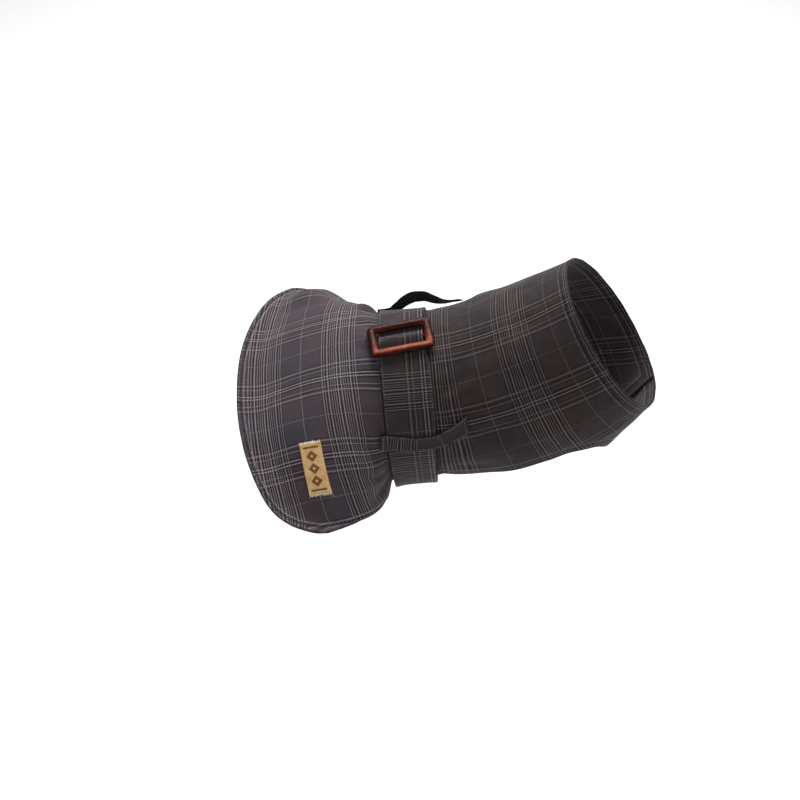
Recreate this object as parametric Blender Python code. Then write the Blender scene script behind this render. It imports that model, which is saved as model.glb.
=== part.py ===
"""A small dog's plaid dress: skirt, bodice, wide belt, slide buckle, belt loops and label.

The cloth keeps the shape it has when worn. All panels are cut from one worn form:
a spine curve that carries cross sections. A place on the form is a station along
the spine and a distance round the section from the spine, both in millimetres.
+X points to the neck, +Y to the wearer's left and +Z up. The origin lies on the
inside of the waist, on the spine.
"""

from math import pi
from typing import NamedTuple

import bmesh
import bpy
import numpy as np

# Cloth, in millimetres as all sizes below.
CLOTH = 1.2
GAP = 0.3
WAIST_RADIUS = 60.5
SLIDE = 12.5            # the whole garment has slid this far round to the right
LAP = 30.0              # overlap of closing ends

# Skirt: a rounded rectangle of cloth that falls from the waist seam.
SKIRT_LENGTH = 121.5
SKIRT_HALF_WIDTH = 120.0
SKIRT_SLIDE = 13.5      # the skirt hangs a little further round than the rest
HEM_SWEEP_LEFT = 12.5   # how much shorter the cloth is where the corners begin
HEM_SWEEP_RIGHT = 10.5
SWEEP_AT = 98.0
CORNER_RADIUS = 29.0
FLIP_RISE = 9.0         # the hem turns out by this much
FLIP_REACH = 20.0
FLAT_FROM = 110.0       # the left corner hangs flat from here, measured from the centre back
FLAT_OVER = 16.0

# Bodice: a back panel whose front ends reach round the chest and lap.
BODICE_HALF_WIDTH = 110.0
BAND_LOW = 91.0         # station of the chest band's lower edge
BAND_CORNER = 16.0      # round corner between the side edge and the band
NECK_STATION = 122.0

# Belt, over the waist seam.
BELT_LIFT = CLOTH + GAP
BELT_RISE = 2.9         # hump over the hidden middle bar
RISE_HALF = 5.6
BELT_SAG = 2.0          # it hangs off the waist under the right side
SAG_AT = 136.0
SAG_HALF = 22.0

# Slide buckle.
BUCKLE_LENGTH = 45.4
BUCKLE_WIDTH = 28.0
BAR = 6.2
BAR_DEPTH = 4.0
BUCKLE_CORNER = 5.2
BUCKLE_STATION = -2.3
BUCKLE_ROUND = 4.3
BUCKLE_TILT = -7.8      # degrees
BUCKLE_LIFT = 3.1       # underside of the long bars above the form
MIDDLE_BAR = 2.6
MIDDLE_DEPTH = 2.0

# Label.
LABEL_CLOTH = 1.0
LABEL_LENGTH = 36.0
LABEL_WIDTH = 15.0

# Where each section's slope is given, measured round from the spine.
REACHES = (0, 28, 56, 84, 112, 140, 200)
FORM_STEP = 1.5
FORM_ROUND = 240


class Section(NamedTuple):
    """One cross section: where it is, how the spine climbs there, and its slopes in degrees."""

    station: float
    climb: float
    right: tuple
    left: tuple


class BeltEdge(NamedTuple):
    """Stations of the belt's two edges at one distance round the waist."""

    reach: float
    rear: float
    front: float


class LoopStep(NamedTuple):
    """One step along a belt loop: place of its middle, half width, lift and twist in degrees."""

    station: float
    reach: float
    half: float
    lift: float
    twist: float


class Fold(NamedTuple):
    """A soft fold: both ends of its line, half width, and height (a trough is negative)."""

    station_a: float
    reach_a: float
    station_b: float
    reach_b: float
    half: float
    height: float


def round_section(station, climb, radius):
    """Give a circular section."""
    slopes = tuple(reach / radius * 180 / pi for reach in REACHES)
    return Section(station, climb, slopes, slopes)


RUMP_LEFT = (0, 9, 17, 29, 70, 84, 105)
SECTIONS = (
    Section(-145, 34, (0, 6, 17, 28, 43, 53, 75), RUMP_LEFT),
    Section(-122, 30, (0, 6, 17, 28, 43, 53, 75), RUMP_LEFT),
    Section(-98, 26, (0, 6, 17, 28, 43, 53, 75), RUMP_LEFT),
    Section(-75, 22, (0, 6.5, 19, 31.5, 44, 54, 76), RUMP_LEFT),
    Section(-50, 17, (0, 10, 27, 46, 66, 75, 98), (0, 12, 30, 51, 66, 80, 112)),
    Section(-31, 9, (0, 20, 43, 66, 87, 107, 150), (0, 20, 41, 62, 84, 102, 145)),
    round_section(-19, 5, 61.5),
    round_section(0, 5, WAIST_RADIUS),
    round_section(17, 6, WAIST_RADIUS),
    round_section(32, 15, 63.0),
    round_section(50, 23, 67.0),
    round_section(82, 29, 66.5),
    round_section(122, 38, 57.0),
    round_section(132, 40, 55.0),
)
BELT_EDGES = (
    BeltEdge(-240, -15, 13),
    BeltEdge(-120, -16.5, 14),
    BeltEdge(-48, -18, 15.5),
    BeltEdge(-8, -18, 13.5),
    BeltEdge(12, -18, 13.5),
    BeltEdge(30, -17.5, 17),
    BeltEdge(63, -17, 17),
    BeltEdge(80, -17, 15.5),
    BeltEdge(117, -16.5, 13.5),
    BeltEdge(240, -15, 13),
)
RIGHT_LOOP = (
    LoopStep(-22.5, 75.5, 6.0, 5.0, 0),
    LoopStep(-17.5, 76.0, 6.2, 3.6, 0),
    LoopStep(-8, 77.6, 6.0, 3.3, 0),
    LoopStep(5, 78.9, 5.6, 3.3, 0),
    LoopStep(15, 78.4, 5.4, 3.4, 0),
    LoopStep(24, 74.8, 5.4, 3.2, 0),
    LoopStep(33.5, 69.3, 5.6, 2.0, 0),
)
LEFT_LOOP = (
    LoopStep(-20.5, -61.5, 5.0, 2.95, 0),
    LoopStep(-17.5, -61.5, 5.0, 3.4, 0),
    LoopStep(-10, -61, 4.8, 3.8, -6),
    LoopStep(-5, -60, 4.8, 6.0, -22),
    LoopStep(2, -58.5, 4.8, 10.2, -38),
    LoopStep(8, -57, 4.8, 11.8, -43),
    LoopStep(14, -56.5, 4.8, 11.5, -42),
    LoopStep(21, -55.5, 4.8, 8.0, -30),
    LoopStep(28, -54.5, 4.8, 4.4, -10),
    LoopStep(34, -53.5, 5.0, 2.8, 0),
    LoopStep(38, -53, 5.0, 2.0, 0),
)
SKIRT_FOLDS = (
    Fold(-18.5, 95, -42, 84, 5.0, -1.8),
    Fold(-18.5, 105, -50, 98, 5.5, 1.9),
    Fold(-18.5, 115, -42, 112, 5.0, -2.0),
    Fold(-18.5, -84, -42, -76, 6.0, -1.8),
    Fold(-18.5, -70, -46, -60, 6.0, 1.7),
    Fold(-20, -50, -44, -46, 9.0, 3.5),
    Fold(-104, -84, -50, -80, 14.0, 3.5),
    Fold(-42, -80, -78, -91, 10.0, -2.4),
    Fold(-19, 134, -32, 134, 8.0, 4.0),
)
BODICE_FOLDS = (
    Fold(38, 56, 74, 66, 7.0, 1.8),
    Fold(36, 78, 70, 88, 6.0, -1.6),
    Fold(42, -54, 74, -64, 7.0, 1.6),
    Fold(40, -28, 70, -36, 6.0, -1.5),
)
COLOURS = {
    "cloth": (0.070, 0.058, 0.066, 1.0),
    "belt": (0.050, 0.042, 0.048, 1.0),
    "shell": (0.090, 0.022, 0.014, 1.0),
    "label": (0.560, 0.370, 0.170, 1.0),
}


def soft_step(value):
    """Go smoothly from 0 to 1 as the value does."""
    value = np.clip(value, 0.0, 1.0)
    return value * value * (3.0 - 2.0 * value)


def flowing(places, values, at):
    """Read a smooth curve through the given values that never overshoots them."""
    places = np.asarray(places, float)
    values = np.asarray(values, float)
    width = np.diff(places)
    rise = np.diff(values) / width
    slope = np.zeros(len(places))
    slope[0] = rise[0]
    slope[-1] = rise[-1]
    for k in range(1, len(rise)):
        if rise[k - 1] * rise[k] > 0:
            near = 2 * width[k] + width[k - 1]
            far = width[k] + 2 * width[k - 1]
            slope[k] = (near + far) / (near / rise[k - 1] + far / rise[k])
    at = np.clip(at, places[0], places[-1])
    k = np.clip(np.searchsorted(places, at) - 1, 0, len(width) - 1)
    t = (at - places[k]) / width[k]
    curve = values[k] * (2 * t**3 - 3 * t**2 + 1) + values[k + 1] * (3 * t**2 - 2 * t**3)
    return curve + width[k] * (slope[k] * (t**3 - 2 * t**2 + t) + slope[k + 1] * (t**3 - t**2))


def running_sum(values, step):
    """Add values up along the first axis, starting from nothing."""
    middles = (values[1:] + values[:-1]) / 2 * step
    return np.concatenate([np.zeros_like(values[:1]), np.cumsum(middles, axis=0)])


def side_of_form(stations, rows):
    """Run each section outward from the spine: sideways way, drop and slope."""
    reach = np.arange(FORM_ROUND + 1.0)
    given = [row.station for row in SECTIONS]
    columns = [flowing(given, [row[k] for row in rows], stations) for k in range(len(REACHES))]
    slopes = []
    for values in np.radians(np.array(columns).T):
        slope = flowing(REACHES, values, reach)
        beyond = np.clip(reach - REACHES[-1], 0, None)
        last = (values[-1] - values[-2]) / (REACHES[-1] - REACHES[-2])
        slopes.append(slope + beyond * last)
    slope = np.array(slopes).T
    return running_sum(np.cos(slope), 1.0).T, running_sum(np.sin(slope), 1.0).T, slope.T


class WornForm:
    """The surface that the garment's inside follows."""

    def __init__(self):
        first, last = SECTIONS[0].station, SECTIONS[-1].station
        self.stations = np.arange(first, last + FORM_STEP / 2, FORM_STEP)
        climb = flowing([row.station for row in SECTIONS], [row.climb for row in SECTIONS],
                        self.stations)
        self.climb = np.radians(climb)
        self.along = running_sum(np.cos(self.climb), FORM_STEP)
        self.height = running_sum(np.sin(self.climb), FORM_STEP)
        self.along -= np.interp(0, self.stations, self.along)
        self.height -= np.interp(0, self.stations, self.height)
        right = side_of_form(self.stations, [row.right for row in SECTIONS])
        left = side_of_form(self.stations, [row.left for row in SECTIONS])
        mirrored = [-left[0], left[1], -left[2]]
        self.table = np.stack([np.hstack([m[:, :0:-1], r]) for m, r in zip(mirrored, right)], -1)

    def read(self, station, reach):
        """Read the way to the right, the drop and the slope at a place."""
        row = np.clip((station - self.stations[0]) / FORM_STEP, 0, len(self.stations) - 1.001)
        column = np.clip(reach + FORM_ROUND, 0, 2 * FORM_ROUND - 0.001)
        i, j = row.astype(int), column.astype(int)
        u, v = (row - i)[..., None], (column - j)[..., None]
        near = self.table[i, j] * (1 - v) + self.table[i, j + 1] * v
        far = self.table[i + 1, j] * (1 - v) + self.table[i + 1, j + 1] * v
        return near * (1 - u) + far * u

    def place(self, station, reach, lift=0.0):
        """Give the point at a place, lifted square to its section."""
        station, reach = np.broadcast_arrays(np.asarray(station, float), np.asarray(reach, float))
        right, drop, slope = np.moveaxis(self.read(station, reach), -1, 0)
        right = right + lift * np.sin(slope)
        rise = lift * np.cos(slope) - drop
        climb = np.interp(station, self.stations, self.climb)
        along = np.interp(station, self.stations, self.along)
        height = np.interp(station, self.stations, self.height)
        return np.stack([along - np.sin(climb) * rise, -right, height + np.cos(climb) * rise], -1)


FORM = WornForm()


def unit(vectors):
    """Scale vectors to length one."""
    return vectors / np.linalg.norm(vectors, axis=-1, keepdims=True)


def outward(surface, station, reach):
    """Give a surface's outward direction from small steps each way."""
    step = 0.4
    ahead = surface(station + step, reach) - surface(station - step, reach)
    round_way = surface(station, reach + step) - surface(station, reach - step)
    return unit(np.cross(round_way, ahead))


def fold_height(folds, station, reach):
    """Add up the folds' heights at a place."""
    total = np.zeros(np.broadcast(station, reach).shape)
    for fold in folds:
        run = np.array([fold.station_b - fold.station_a, fold.reach_b - fold.reach_a])
        length = np.hypot(*run)
        across = run / length
        start_s, start_r = station - fold.station_a, reach - fold.reach_a
        down = (start_s * across[0] + start_r * across[1]) / length
        side = (start_r * across[0] - start_s * across[1]) / fold.half
        fade = soft_step(down / 0.25) * soft_step((1 - down) / 0.6)
        total = total + fold.height * np.exp(-side**2) * fade
    return total


def hem_station(width):
    """Give the hem's station at a distance from the centre back."""
    over = np.clip(np.abs(width) - (SKIRT_HALF_WIDTH - CORNER_RADIUS), 0, CORNER_RADIUS)
    corner = CORNER_RADIUS - np.sqrt(CORNER_RADIUS**2 - over**2)
    share = np.abs(width) / SWEEP_AT
    sweep = np.where(width > 0, HEM_SWEEP_RIGHT * share**3, HEM_SWEEP_LEFT * share**2)
    return -SKIRT_LENGTH + sweep + corner


def skirt_surface(station, reach):
    """Give the inside of the skirt, with its folds and its turned-out hem."""
    width = np.clip(reach - SKIRT_SLIDE, -SKIRT_HALF_WIDTH, SKIRT_HALF_WIDTH)
    near_hem = np.clip(1 - (station - hem_station(width)) / FLIP_REACH, 0, 1.05)
    flip = FLIP_RISE * near_hem**2 * (1 - 0.9 * soft_step((-width - FLAT_FROM) / FLAT_OVER))
    return FORM.place(station, reach, flip + fold_height(SKIRT_FOLDS, station, reach))


def form_radius(station):
    """Give the form's radius where its sections are circles."""
    radii = [REACHES[-1] / np.radians(row.right[-1]) for row in SECTIONS]
    return flowing([row.station for row in SECTIONS], radii, station)


def lap_lift(reach, radius):
    """Lift the closing end that lies on top, on a section of this radius."""
    start = SLIDE + pi * radius - LAP / 2 - 16
    return (CLOTH + 1.5 * GAP) * soft_step((reach - start) / 12)


def bodice_surface(station, reach):
    """Give the inside of the bodice."""
    lift = fold_height(BODICE_FOLDS, station, reach) + lap_lift(reach, form_radius(station))
    return FORM.place(station, reach, lift)


def cell_faces(kept):
    """List the faces of the kept cells of a grid of points."""
    columns = kept.shape[1] + 1
    faces = []
    for i, j in np.argwhere(kept):
        corner = int(i * columns + j)
        faces.append((corner, corner + 1, corner + columns + 1, corner + columns))
    return faces


def rim_edges(faces):
    """List the edges that only one face has, each in that face's direction."""
    edges = [edge for face in faces for edge in zip(face, face[1:] + face[:1])]
    known = set(edges)
    return [edge for edge in edges if edge[::-1] not in known]


def material_for(node, kind, roughness):
    """Make one node's own material."""
    material = bpy.data.materials.new(node + "_finish")
    material.use_nodes = True
    shader = material.node_tree.nodes["Principled BSDF"]
    shader.inputs["Base Color"].default_value = COLOURS[kind]
    shader.inputs["Roughness"].default_value = roughness
    shader.inputs["Metallic"].default_value = 0.0
    return material


def finish(node, points, faces, kind, roughness):
    """Make an object from points in millimetres, with every face turned outward."""
    mesh = bpy.data.meshes.new(node)
    mesh.from_pydata([tuple(point) for point in np.asarray(points) * 0.001], [], faces)
    model = bmesh.new()
    model.from_mesh(mesh)
    loose = [corner for corner in model.verts if not corner.link_faces]
    bmesh.ops.delete(model, geom=loose, context="VERTS")
    bmesh.ops.recalc_face_normals(model, faces=model.faces)
    model.to_mesh(mesh)
    model.free()
    mesh.shade_smooth()
    mesh.set_sharp_from_angle(angle=0.7)
    made = bpy.data.objects.new(node, mesh)
    bpy.context.collection.objects.link(made)
    mesh.materials.append(material_for(node, kind, roughness))
    return made


def wall(node, inside, outside, kind="cloth", roughness=0.92, kept=None):
    """Close two grids of points into a wall, over the kept cells."""
    rows, columns = inside.shape[:2]
    if kept is None:
        kept = np.ones((rows - 1, columns - 1), bool)
    count = rows * columns
    top = cell_faces(kept)
    faces = [tuple(corner + count for corner in face) for face in top]
    faces += [face[::-1] for face in top]
    faces += [(here, there, there + count, here + count) for here, there in rim_edges(top)]
    points = np.vstack([inside.reshape(-1, 3), outside.reshape(-1, 3)])
    return finish(node, points, faces, kind, roughness)


def panel(node, surface, station, reach, low, high, kind="cloth", kept=None):
    """Make a wall between two heights above a surface."""
    base = surface(station, reach)
    direction = outward(surface, station, reach)
    inside = base + direction * low
    outside = base + direction * high
    return wall(node, inside, outside, kind, kept=kept)


def skirt_columns():
    """Space columns evenly over the middle and round the corners."""
    straight = SKIRT_HALF_WIDTH - CORNER_RADIUS
    middle = np.linspace(-straight, straight, 39)
    turn = np.sin(np.linspace(0, pi / 2, 10)[1:])
    corner = straight + CORNER_RADIUS * turn
    return np.concatenate([-corner[::-1], middle, corner])


def make_skirt():
    """Skirt from the waist seam to the hem."""
    width = skirt_columns()
    share = np.linspace(0, 1, 25)[:, None]
    top = -GAP / 2
    station = top + (hem_station(width)[None, :] - top) * share
    reach = np.broadcast_to(SKIRT_SLIDE + width, station.shape)
    return panel("skirt", skirt_surface, station, reach, 0.0, CLOTH)


def round_corners(station, width):
    """Move the grid so that the side edges run into the chest band in a round corner."""
    below = np.clip(BAND_LOW - station, 0, BAND_CORNER)
    beyond = np.clip(np.abs(width) - BODICE_HALF_WIDTH, 0, BAND_CORNER)
    angle = pi / 4 * (1 - below / BAND_CORNER + beyond / BAND_CORNER)
    edge_station = BAND_LOW - below
    edge_width = BODICE_HALF_WIDTH + beyond
    new_station = BAND_LOW - BAND_CORNER * (1 - np.sin(angle))
    new_width = BODICE_HALF_WIDTH + BAND_CORNER * (1 - np.cos(angle))
    depth = np.hypot(station - edge_station, np.abs(width) - edge_width)
    share = 1 - soft_step(depth / (2.2 * BAND_CORNER))
    station = station + (new_station - edge_station) * share
    width = width + np.sign(width) * (new_width - edge_width) * share
    return station, width


def make_bodice():
    """Bodice from the waist seam to the neck, with the chest band in one piece."""
    low = np.linspace(GAP / 2, BAND_LOW - BAND_CORNER, 11)[:-1]
    turn = np.linspace(BAND_LOW - BAND_CORNER, BAND_LOW, 5)[:-1]
    rows = np.concatenate([low, turn, np.linspace(BAND_LOW, NECK_STATION, 7)])
    middle = np.linspace(-BODICE_HALF_WIDTH, BODICE_HALF_WIDTH, 37)
    near = BODICE_HALF_WIDTH + np.linspace(0, BAND_CORNER, 5)[1:]
    share = np.linspace(0, 1, 15)[1:]
    full = pi * form_radius(rows) + LAP / 2
    far = near[-1] + (full[:, None] - near[-1]) * share
    side = np.hstack([np.tile(near, (len(rows), 1)), far])
    width = np.hstack([-side[:, ::-1], np.tile(middle, (len(rows), 1)), side])
    kept = np.ones((len(rows) - 1, width.shape[1] - 1), bool)
    outer = side.shape[1]
    kept[:len(low) + len(turn), :outer] = False
    kept[:len(low) + len(turn), -outer:] = False
    station, width = round_corners(np.broadcast_to(rows[:, None], width.shape), width)
    panel("bodice", bodice_surface, station, SLIDE + width, 0.0, CLOTH, kept=kept)


def belt_lift(station, reach):
    """Give the belt's height over the form: hump at the buckle, lap under the belly."""
    tilt = np.tan(np.radians(BUCKLE_TILT))
    away = reach - BUCKLE_ROUND - (station - BUCKLE_STATION) * tilt
    share = np.clip(np.abs(away) / RISE_HALF, 0, 1)
    hump = BELT_RISE * np.cos(pi / 2 * share) ** 2
    sag = BELT_SAG * np.exp(-((reach - SAG_AT) / SAG_HALF) ** 2)
    return BELT_LIFT + hump + sag + lap_lift(reach, WAIST_RADIUS)


def belt_columns():
    """Space columns closely at the buckle and widely round the rest."""
    half = pi * WAIST_RADIUS + LAP / 2
    fine = BUCKLE_ROUND + np.linspace(-7.2, 7.2, 17)
    left = np.linspace(SLIDE - half, fine[0], 38)[:-1]
    right = np.linspace(fine[-1], SLIDE + half, 37)[1:]
    return np.concatenate([left, fine, right])


def make_belt():
    """Belt round the waist, its ends lapped under the belly."""
    columns = belt_columns()
    given = [row.reach for row in BELT_EDGES]
    rear = flowing(given, [row.rear for row in BELT_EDGES], columns)
    front = flowing(given, [row.front for row in BELT_EDGES], columns)
    share = np.linspace(0, 1, 6)[:, None]
    station = rear + (front - rear) * share
    lean = np.tan(np.radians(BUCKLE_TILT)) * soft_step(2 - np.abs(columns - BUCKLE_ROUND) / 18)
    reach = columns + (station - BUCKLE_STATION) * lean
    lift = belt_lift(station, reach)
    inside = FORM.place(station, reach, lift)
    outside = FORM.place(station, reach, lift + CLOTH)
    return wall("belt", inside, outside, "belt")


def loop_steps(rows, count):
    """Read a belt loop's table at evenly spaced places."""
    given = [row.station for row in rows]
    station = np.linspace(given[0], given[-1], count)
    return [station] + [flowing(given, [row[k] for row in rows], station) for k in range(1, 5)]


def make_loop(node, rows):
    """Belt loop as a flat strap with a twist."""
    station, reach, half, lift, twist = loop_steps(rows, 34)
    middle = FORM.place(station, reach, lift)
    square = unit(FORM.place(station, reach, lift + 1) - middle)
    along = unit(np.gradient(middle, axis=0))
    aside = unit(np.cross(square, along))
    square = np.cross(along, aside)
    turn = np.radians(twist)[:, None]
    wide = aside * np.cos(turn) + square * np.sin(turn)
    thick = square * np.cos(turn) - aside * np.sin(turn)
    sides = np.linspace(-1, 1, 4)[None, :, None] * half[:, None, None] * wide[:, None, :]
    inside = middle[:, None, :] + sides
    outside = inside + thick[:, None, :] * CLOTH
    return wall(node, inside, outside)


def rounded_ring(length, width, radius, steps):
    """Give the points of a rounded rectangle."""
    points = []
    for turn, (sx, sy) in enumerate(((1, 1), (-1, 1), (-1, -1), (1, -1))):
        for angle in np.linspace(turn * pi / 2, (turn + 1) * pi / 2, steps):
            points.append((sx * (length / 2 - radius) + radius * np.cos(angle),
                           sy * (width / 2 - radius) + radius * np.sin(angle)))
    return np.array(points)


def frame_rings():
    """Give the rings that sweep the buckle frame's rounded section."""
    soft = 1.0
    inner = max(BUCKLE_CORNER - BAR, 0.6)
    rows = (
        (0.0, soft, BUCKLE_CORNER, 0.0),
        (0.0, 0.0, BUCKLE_CORNER, soft),
        (0.0, 0.0, BUCKLE_CORNER, BAR_DEPTH - soft),
        (0.0, soft, BUCKLE_CORNER, BAR_DEPTH),
        (BAR, -soft, inner, BAR_DEPTH),
        (BAR, 0.0, inner, BAR_DEPTH - soft),
        (BAR, 0.0, inner, soft),
        (BAR, -soft, inner, 0.0),
    )
    rings = []
    for inset, ease, corner, height in rows:
        shrink = inset + ease
        ring = rounded_ring(BUCKLE_LENGTH - 2 * shrink, BUCKLE_WIDTH - 2 * shrink,
                            max(corner - ease, 0.4), 6)
        rings.append(np.column_stack([ring, np.full(len(ring), height)]))
    return np.array(rings)


def buckle_axes():
    """Give the buckle's middle and its three directions."""
    station, reach = np.array(BUCKLE_STATION), np.array(BUCKLE_ROUND)
    middle = FORM.place(station, reach)
    square = outward(FORM.place, station, reach)
    along = unit(FORM.place(station + 1, reach) - FORM.place(station - 1, reach))
    aside = np.cross(square, along)
    turn = -np.radians(BUCKLE_TILT)
    along, aside = (along * np.cos(turn) + aside * np.sin(turn),
                    aside * np.cos(turn) - along * np.sin(turn))
    return middle, along, aside, square


def make_middle_bar(axes):
    """Middle bar that the belt hides, reaching into both short sides of the frame."""
    middle, along, aside, square = axes
    reach = BUCKLE_LENGTH / 2 - BAR * 0.55
    low = BELT_LIFT
    high = low + MIDDLE_DEPTH
    soft = 0.6
    profile = ((-MIDDLE_BAR / 2, low), (MIDDLE_BAR / 2, low), (MIDDLE_BAR / 2, high - soft),
               (MIDDLE_BAR / 2 - soft, high), (soft - MIDDLE_BAR / 2, high),
               (-MIDDLE_BAR / 2, high - soft))
    points = [middle + along * end + aside * side + square * height
              for end in (-reach, reach) for side, height in profile]
    count = len(profile)
    faces = [tuple(range(count))[::-1], tuple(range(count, 2 * count))]
    for k in range(count):
        after = (k + 1) % count
        faces.append((k, after, after + count, k + count))
    bar = finish("middle_bar", points, faces, "shell", 0.2)
    bar.hide_render = True
    bar.display_type = "WIRE"
    return bar


def make_buckle():
    """Slide buckle: a rounded frame joined to a low middle bar."""
    axes = buckle_axes()
    middle, along, aside, square = axes
    rings = frame_rings()
    rings[..., 2] += BUCKLE_LIFT
    points = (middle + rings[..., :1] * along + rings[..., 1:2] * aside
              + rings[..., 2:] * square).reshape(-1, 3)
    count = rings.shape[1]
    faces = []
    for ring in range(len(rings)):
        after = (ring + 1) % len(rings)
        for k in range(count):
            beside = (k + 1) % count
            faces.append((ring * count + k, ring * count + beside,
                          after * count + beside, after * count + k))
    buckle = finish("buckle", points, faces, "shell", 0.2)
    union = buckle.modifiers.new("join_bar", "BOOLEAN")
    union.operation = "UNION"
    union.solver = "EXACT"
    union.object = make_middle_bar(axes)
    return buckle


def make_label():
    """Label that lies on the skirt."""
    share = np.linspace(-0.5, 0.5, 7)[:, None]
    down = np.linspace(-0.5, 0.5, 11)[None, :]
    station = -73.9 + LABEL_WIDTH * share - 1.3 * down
    reach = 91.2 + LABEL_LENGTH * down + 0.6 * share
    low = CLOTH + GAP
    return panel("label", skirt_surface, station, reach, low, low + LABEL_CLOTH, "label")


def main():
    """Build the dress."""
    for old in list(bpy.data.objects):
        bpy.data.objects.remove(old, do_unlink=True)
    make_skirt()
    make_bodice()
    make_belt()
    make_buckle()
    make_loop("belt_loop_right", RIGHT_LOOP)
    make_loop("belt_loop_left", LEFT_LOOP)
    make_label()


main()
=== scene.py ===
"""Looks of a small dog's plaid dress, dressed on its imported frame.

Cloth pieces are cut flat, in millimetres, and laid on one worn form. A place on the
form is a station along the spine and a reach round the section from the spine.
"""

import logging
from contextlib import contextmanager
from dataclasses import dataclass, field
from enum import Enum
from math import cos, pi, radians, sin, tan
from typing import Callable, Iterator, NamedTuple, Protocol, TypeVar

import bpy
import numpy as np
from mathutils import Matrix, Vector


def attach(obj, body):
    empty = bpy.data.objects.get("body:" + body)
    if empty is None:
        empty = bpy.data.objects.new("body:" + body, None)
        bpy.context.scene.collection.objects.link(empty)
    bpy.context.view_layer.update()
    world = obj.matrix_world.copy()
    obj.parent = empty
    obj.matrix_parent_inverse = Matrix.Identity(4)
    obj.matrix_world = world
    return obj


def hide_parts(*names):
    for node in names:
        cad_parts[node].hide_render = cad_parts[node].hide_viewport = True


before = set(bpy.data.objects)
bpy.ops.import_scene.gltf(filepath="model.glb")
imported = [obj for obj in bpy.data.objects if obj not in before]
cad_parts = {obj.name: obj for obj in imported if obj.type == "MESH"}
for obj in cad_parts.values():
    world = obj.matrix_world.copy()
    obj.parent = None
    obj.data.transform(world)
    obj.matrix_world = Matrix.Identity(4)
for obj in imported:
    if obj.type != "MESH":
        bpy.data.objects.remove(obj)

LOG = logging.getLogger("dress")
Array = np.ndarray
Colour = tuple[float, float, float]
Piece = bpy.types.Object
Socket = bpy.types.NodeSocket
Row = TypeVar("Row")

# Millimetres, but for MM and PER_METRE.
MM = 0.001
PER_METRE = 1000.0
CLOTH = 1.2
GAP = 0.3
SLIDE = 12.5
LAP = 30.0
LAP_LEAD = 16.0
LAP_RUN = 12.0
WAIST_RADIUS = 60.5
REACHES = (0, 28, 56, 84, 112, 140, 200)
STITCH_LINE = 2.6
STITCH_PITCH = 2.7
STITCH_LIFT = 0.04
SMALL_STEP = 0.4
# Shares of a crease's length over which it rises and fades.
CREASE_IN = 0.25
CREASE_OUT = 0.6
CUT_UV = "cut"
EDGE = "edge"


class Section(NamedTuple):
    """One cross section: station, climb of the spine and slopes to both sides in degrees."""

    station: float
    climb: float
    right: tuple[float, ...]
    left: tuple[float, ...]


class Crease(NamedTuple):
    """A soft trough or ridge: both ends of its line, half width, height and sideways bow."""

    station_a: float
    reach_a: float
    station_b: float
    reach_b: float
    half: float
    height: float
    bow: float = 0.0


class CheckLine(NamedTuple):
    """One line of the check: distance from its group's middle, half width and strength."""

    offset: float
    half: float
    strength: float


class BeltEdge(NamedTuple):
    """Stations of the belt's two edges at one distance round the waist."""

    reach: float
    rear: float
    front: float


class LoopStep(NamedTuple):
    """One step along a belt loop: place of its middle, half width, lift and twist in degrees."""

    station: float
    reach: float
    half: float
    lift: float
    twist: float


class Wave(NamedTuple):
    """One wave of a ripple: its length over a full turn's radians, start and share."""

    length: float
    start: float
    share: float


class Grain(Enum):
    """Which way the cloth's length runs."""

    LENGTHWISE = "along the spine"
    TURNED = "round the body"


class Finish(Protocol):
    """Anything that makes a material."""

    def make(self) -> bpy.types.Material:
        """Build the material."""


def table(kind: Callable[..., Row], *values: tuple[float, ...]) -> tuple[Row, ...]:
    """Make the named rows of a table from plain ones."""
    return tuple(kind(*row) for row in values)


# --- small maths


def soft_step(value: Array) -> Array:
    """Go smoothly from 0 to 1 as the value does."""
    value = np.clip(value, 0.0, 1.0)
    return value * value * (3.0 - 2.0 * value)


def flowing(places: Array, values: Array, at: Array) -> Array:
    """Read a smooth curve through the given values that never overshoots them.

    Args:
        places: Rising places of the values.
        values: The values there.
        at: Where to read.

    Returns:
        The curve's values.
    """
    places = np.asarray(places, float)
    values = np.asarray(values, float)
    width = np.diff(places)
    rise = np.diff(values) / width
    slope = np.zeros(len(places))
    slope[0], slope[-1] = rise[0], rise[-1]
    for k in range(1, len(rise)):
        if rise[k - 1] * rise[k] > 0:
            near = 2 * width[k] + width[k - 1]
            far = width[k] + 2 * width[k - 1]
            slope[k] = (near + far) / (near / rise[k - 1] + far / rise[k])
    at = np.clip(at, places[0], places[-1])
    k = np.clip(np.searchsorted(places, at) - 1, 0, len(width) - 1)
    t = (at - places[k]) / width[k]
    curve = values[k] * (2 * t**3 - 3 * t**2 + 1) + values[k + 1] * (3 * t**2 - 2 * t**3)
    return curve + width[k] * (slope[k] * (t**3 - 2 * t**2 + t) + slope[k + 1] * (t**3 - t**2))


def running_sum(values: Array, step: float) -> Array:
    """Add values this far apart up along the first axis, starting from nothing."""
    middles = (values[1:] + values[:-1]) / 2 * step
    return np.concatenate([np.zeros_like(values[:1]), np.cumsum(middles, axis=0)])


def unit(vectors: Array) -> Array:
    """Scale vectors to length one."""
    return vectors / np.maximum(np.linalg.norm(vectors, axis=-1, keepdims=True), 1e-9)


def bell(distance: Array, half: float) -> Array:
    """Give a soft bump that is 1 in its middle and fades over its half width."""
    return np.exp(-((distance / half) ** 2))


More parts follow.
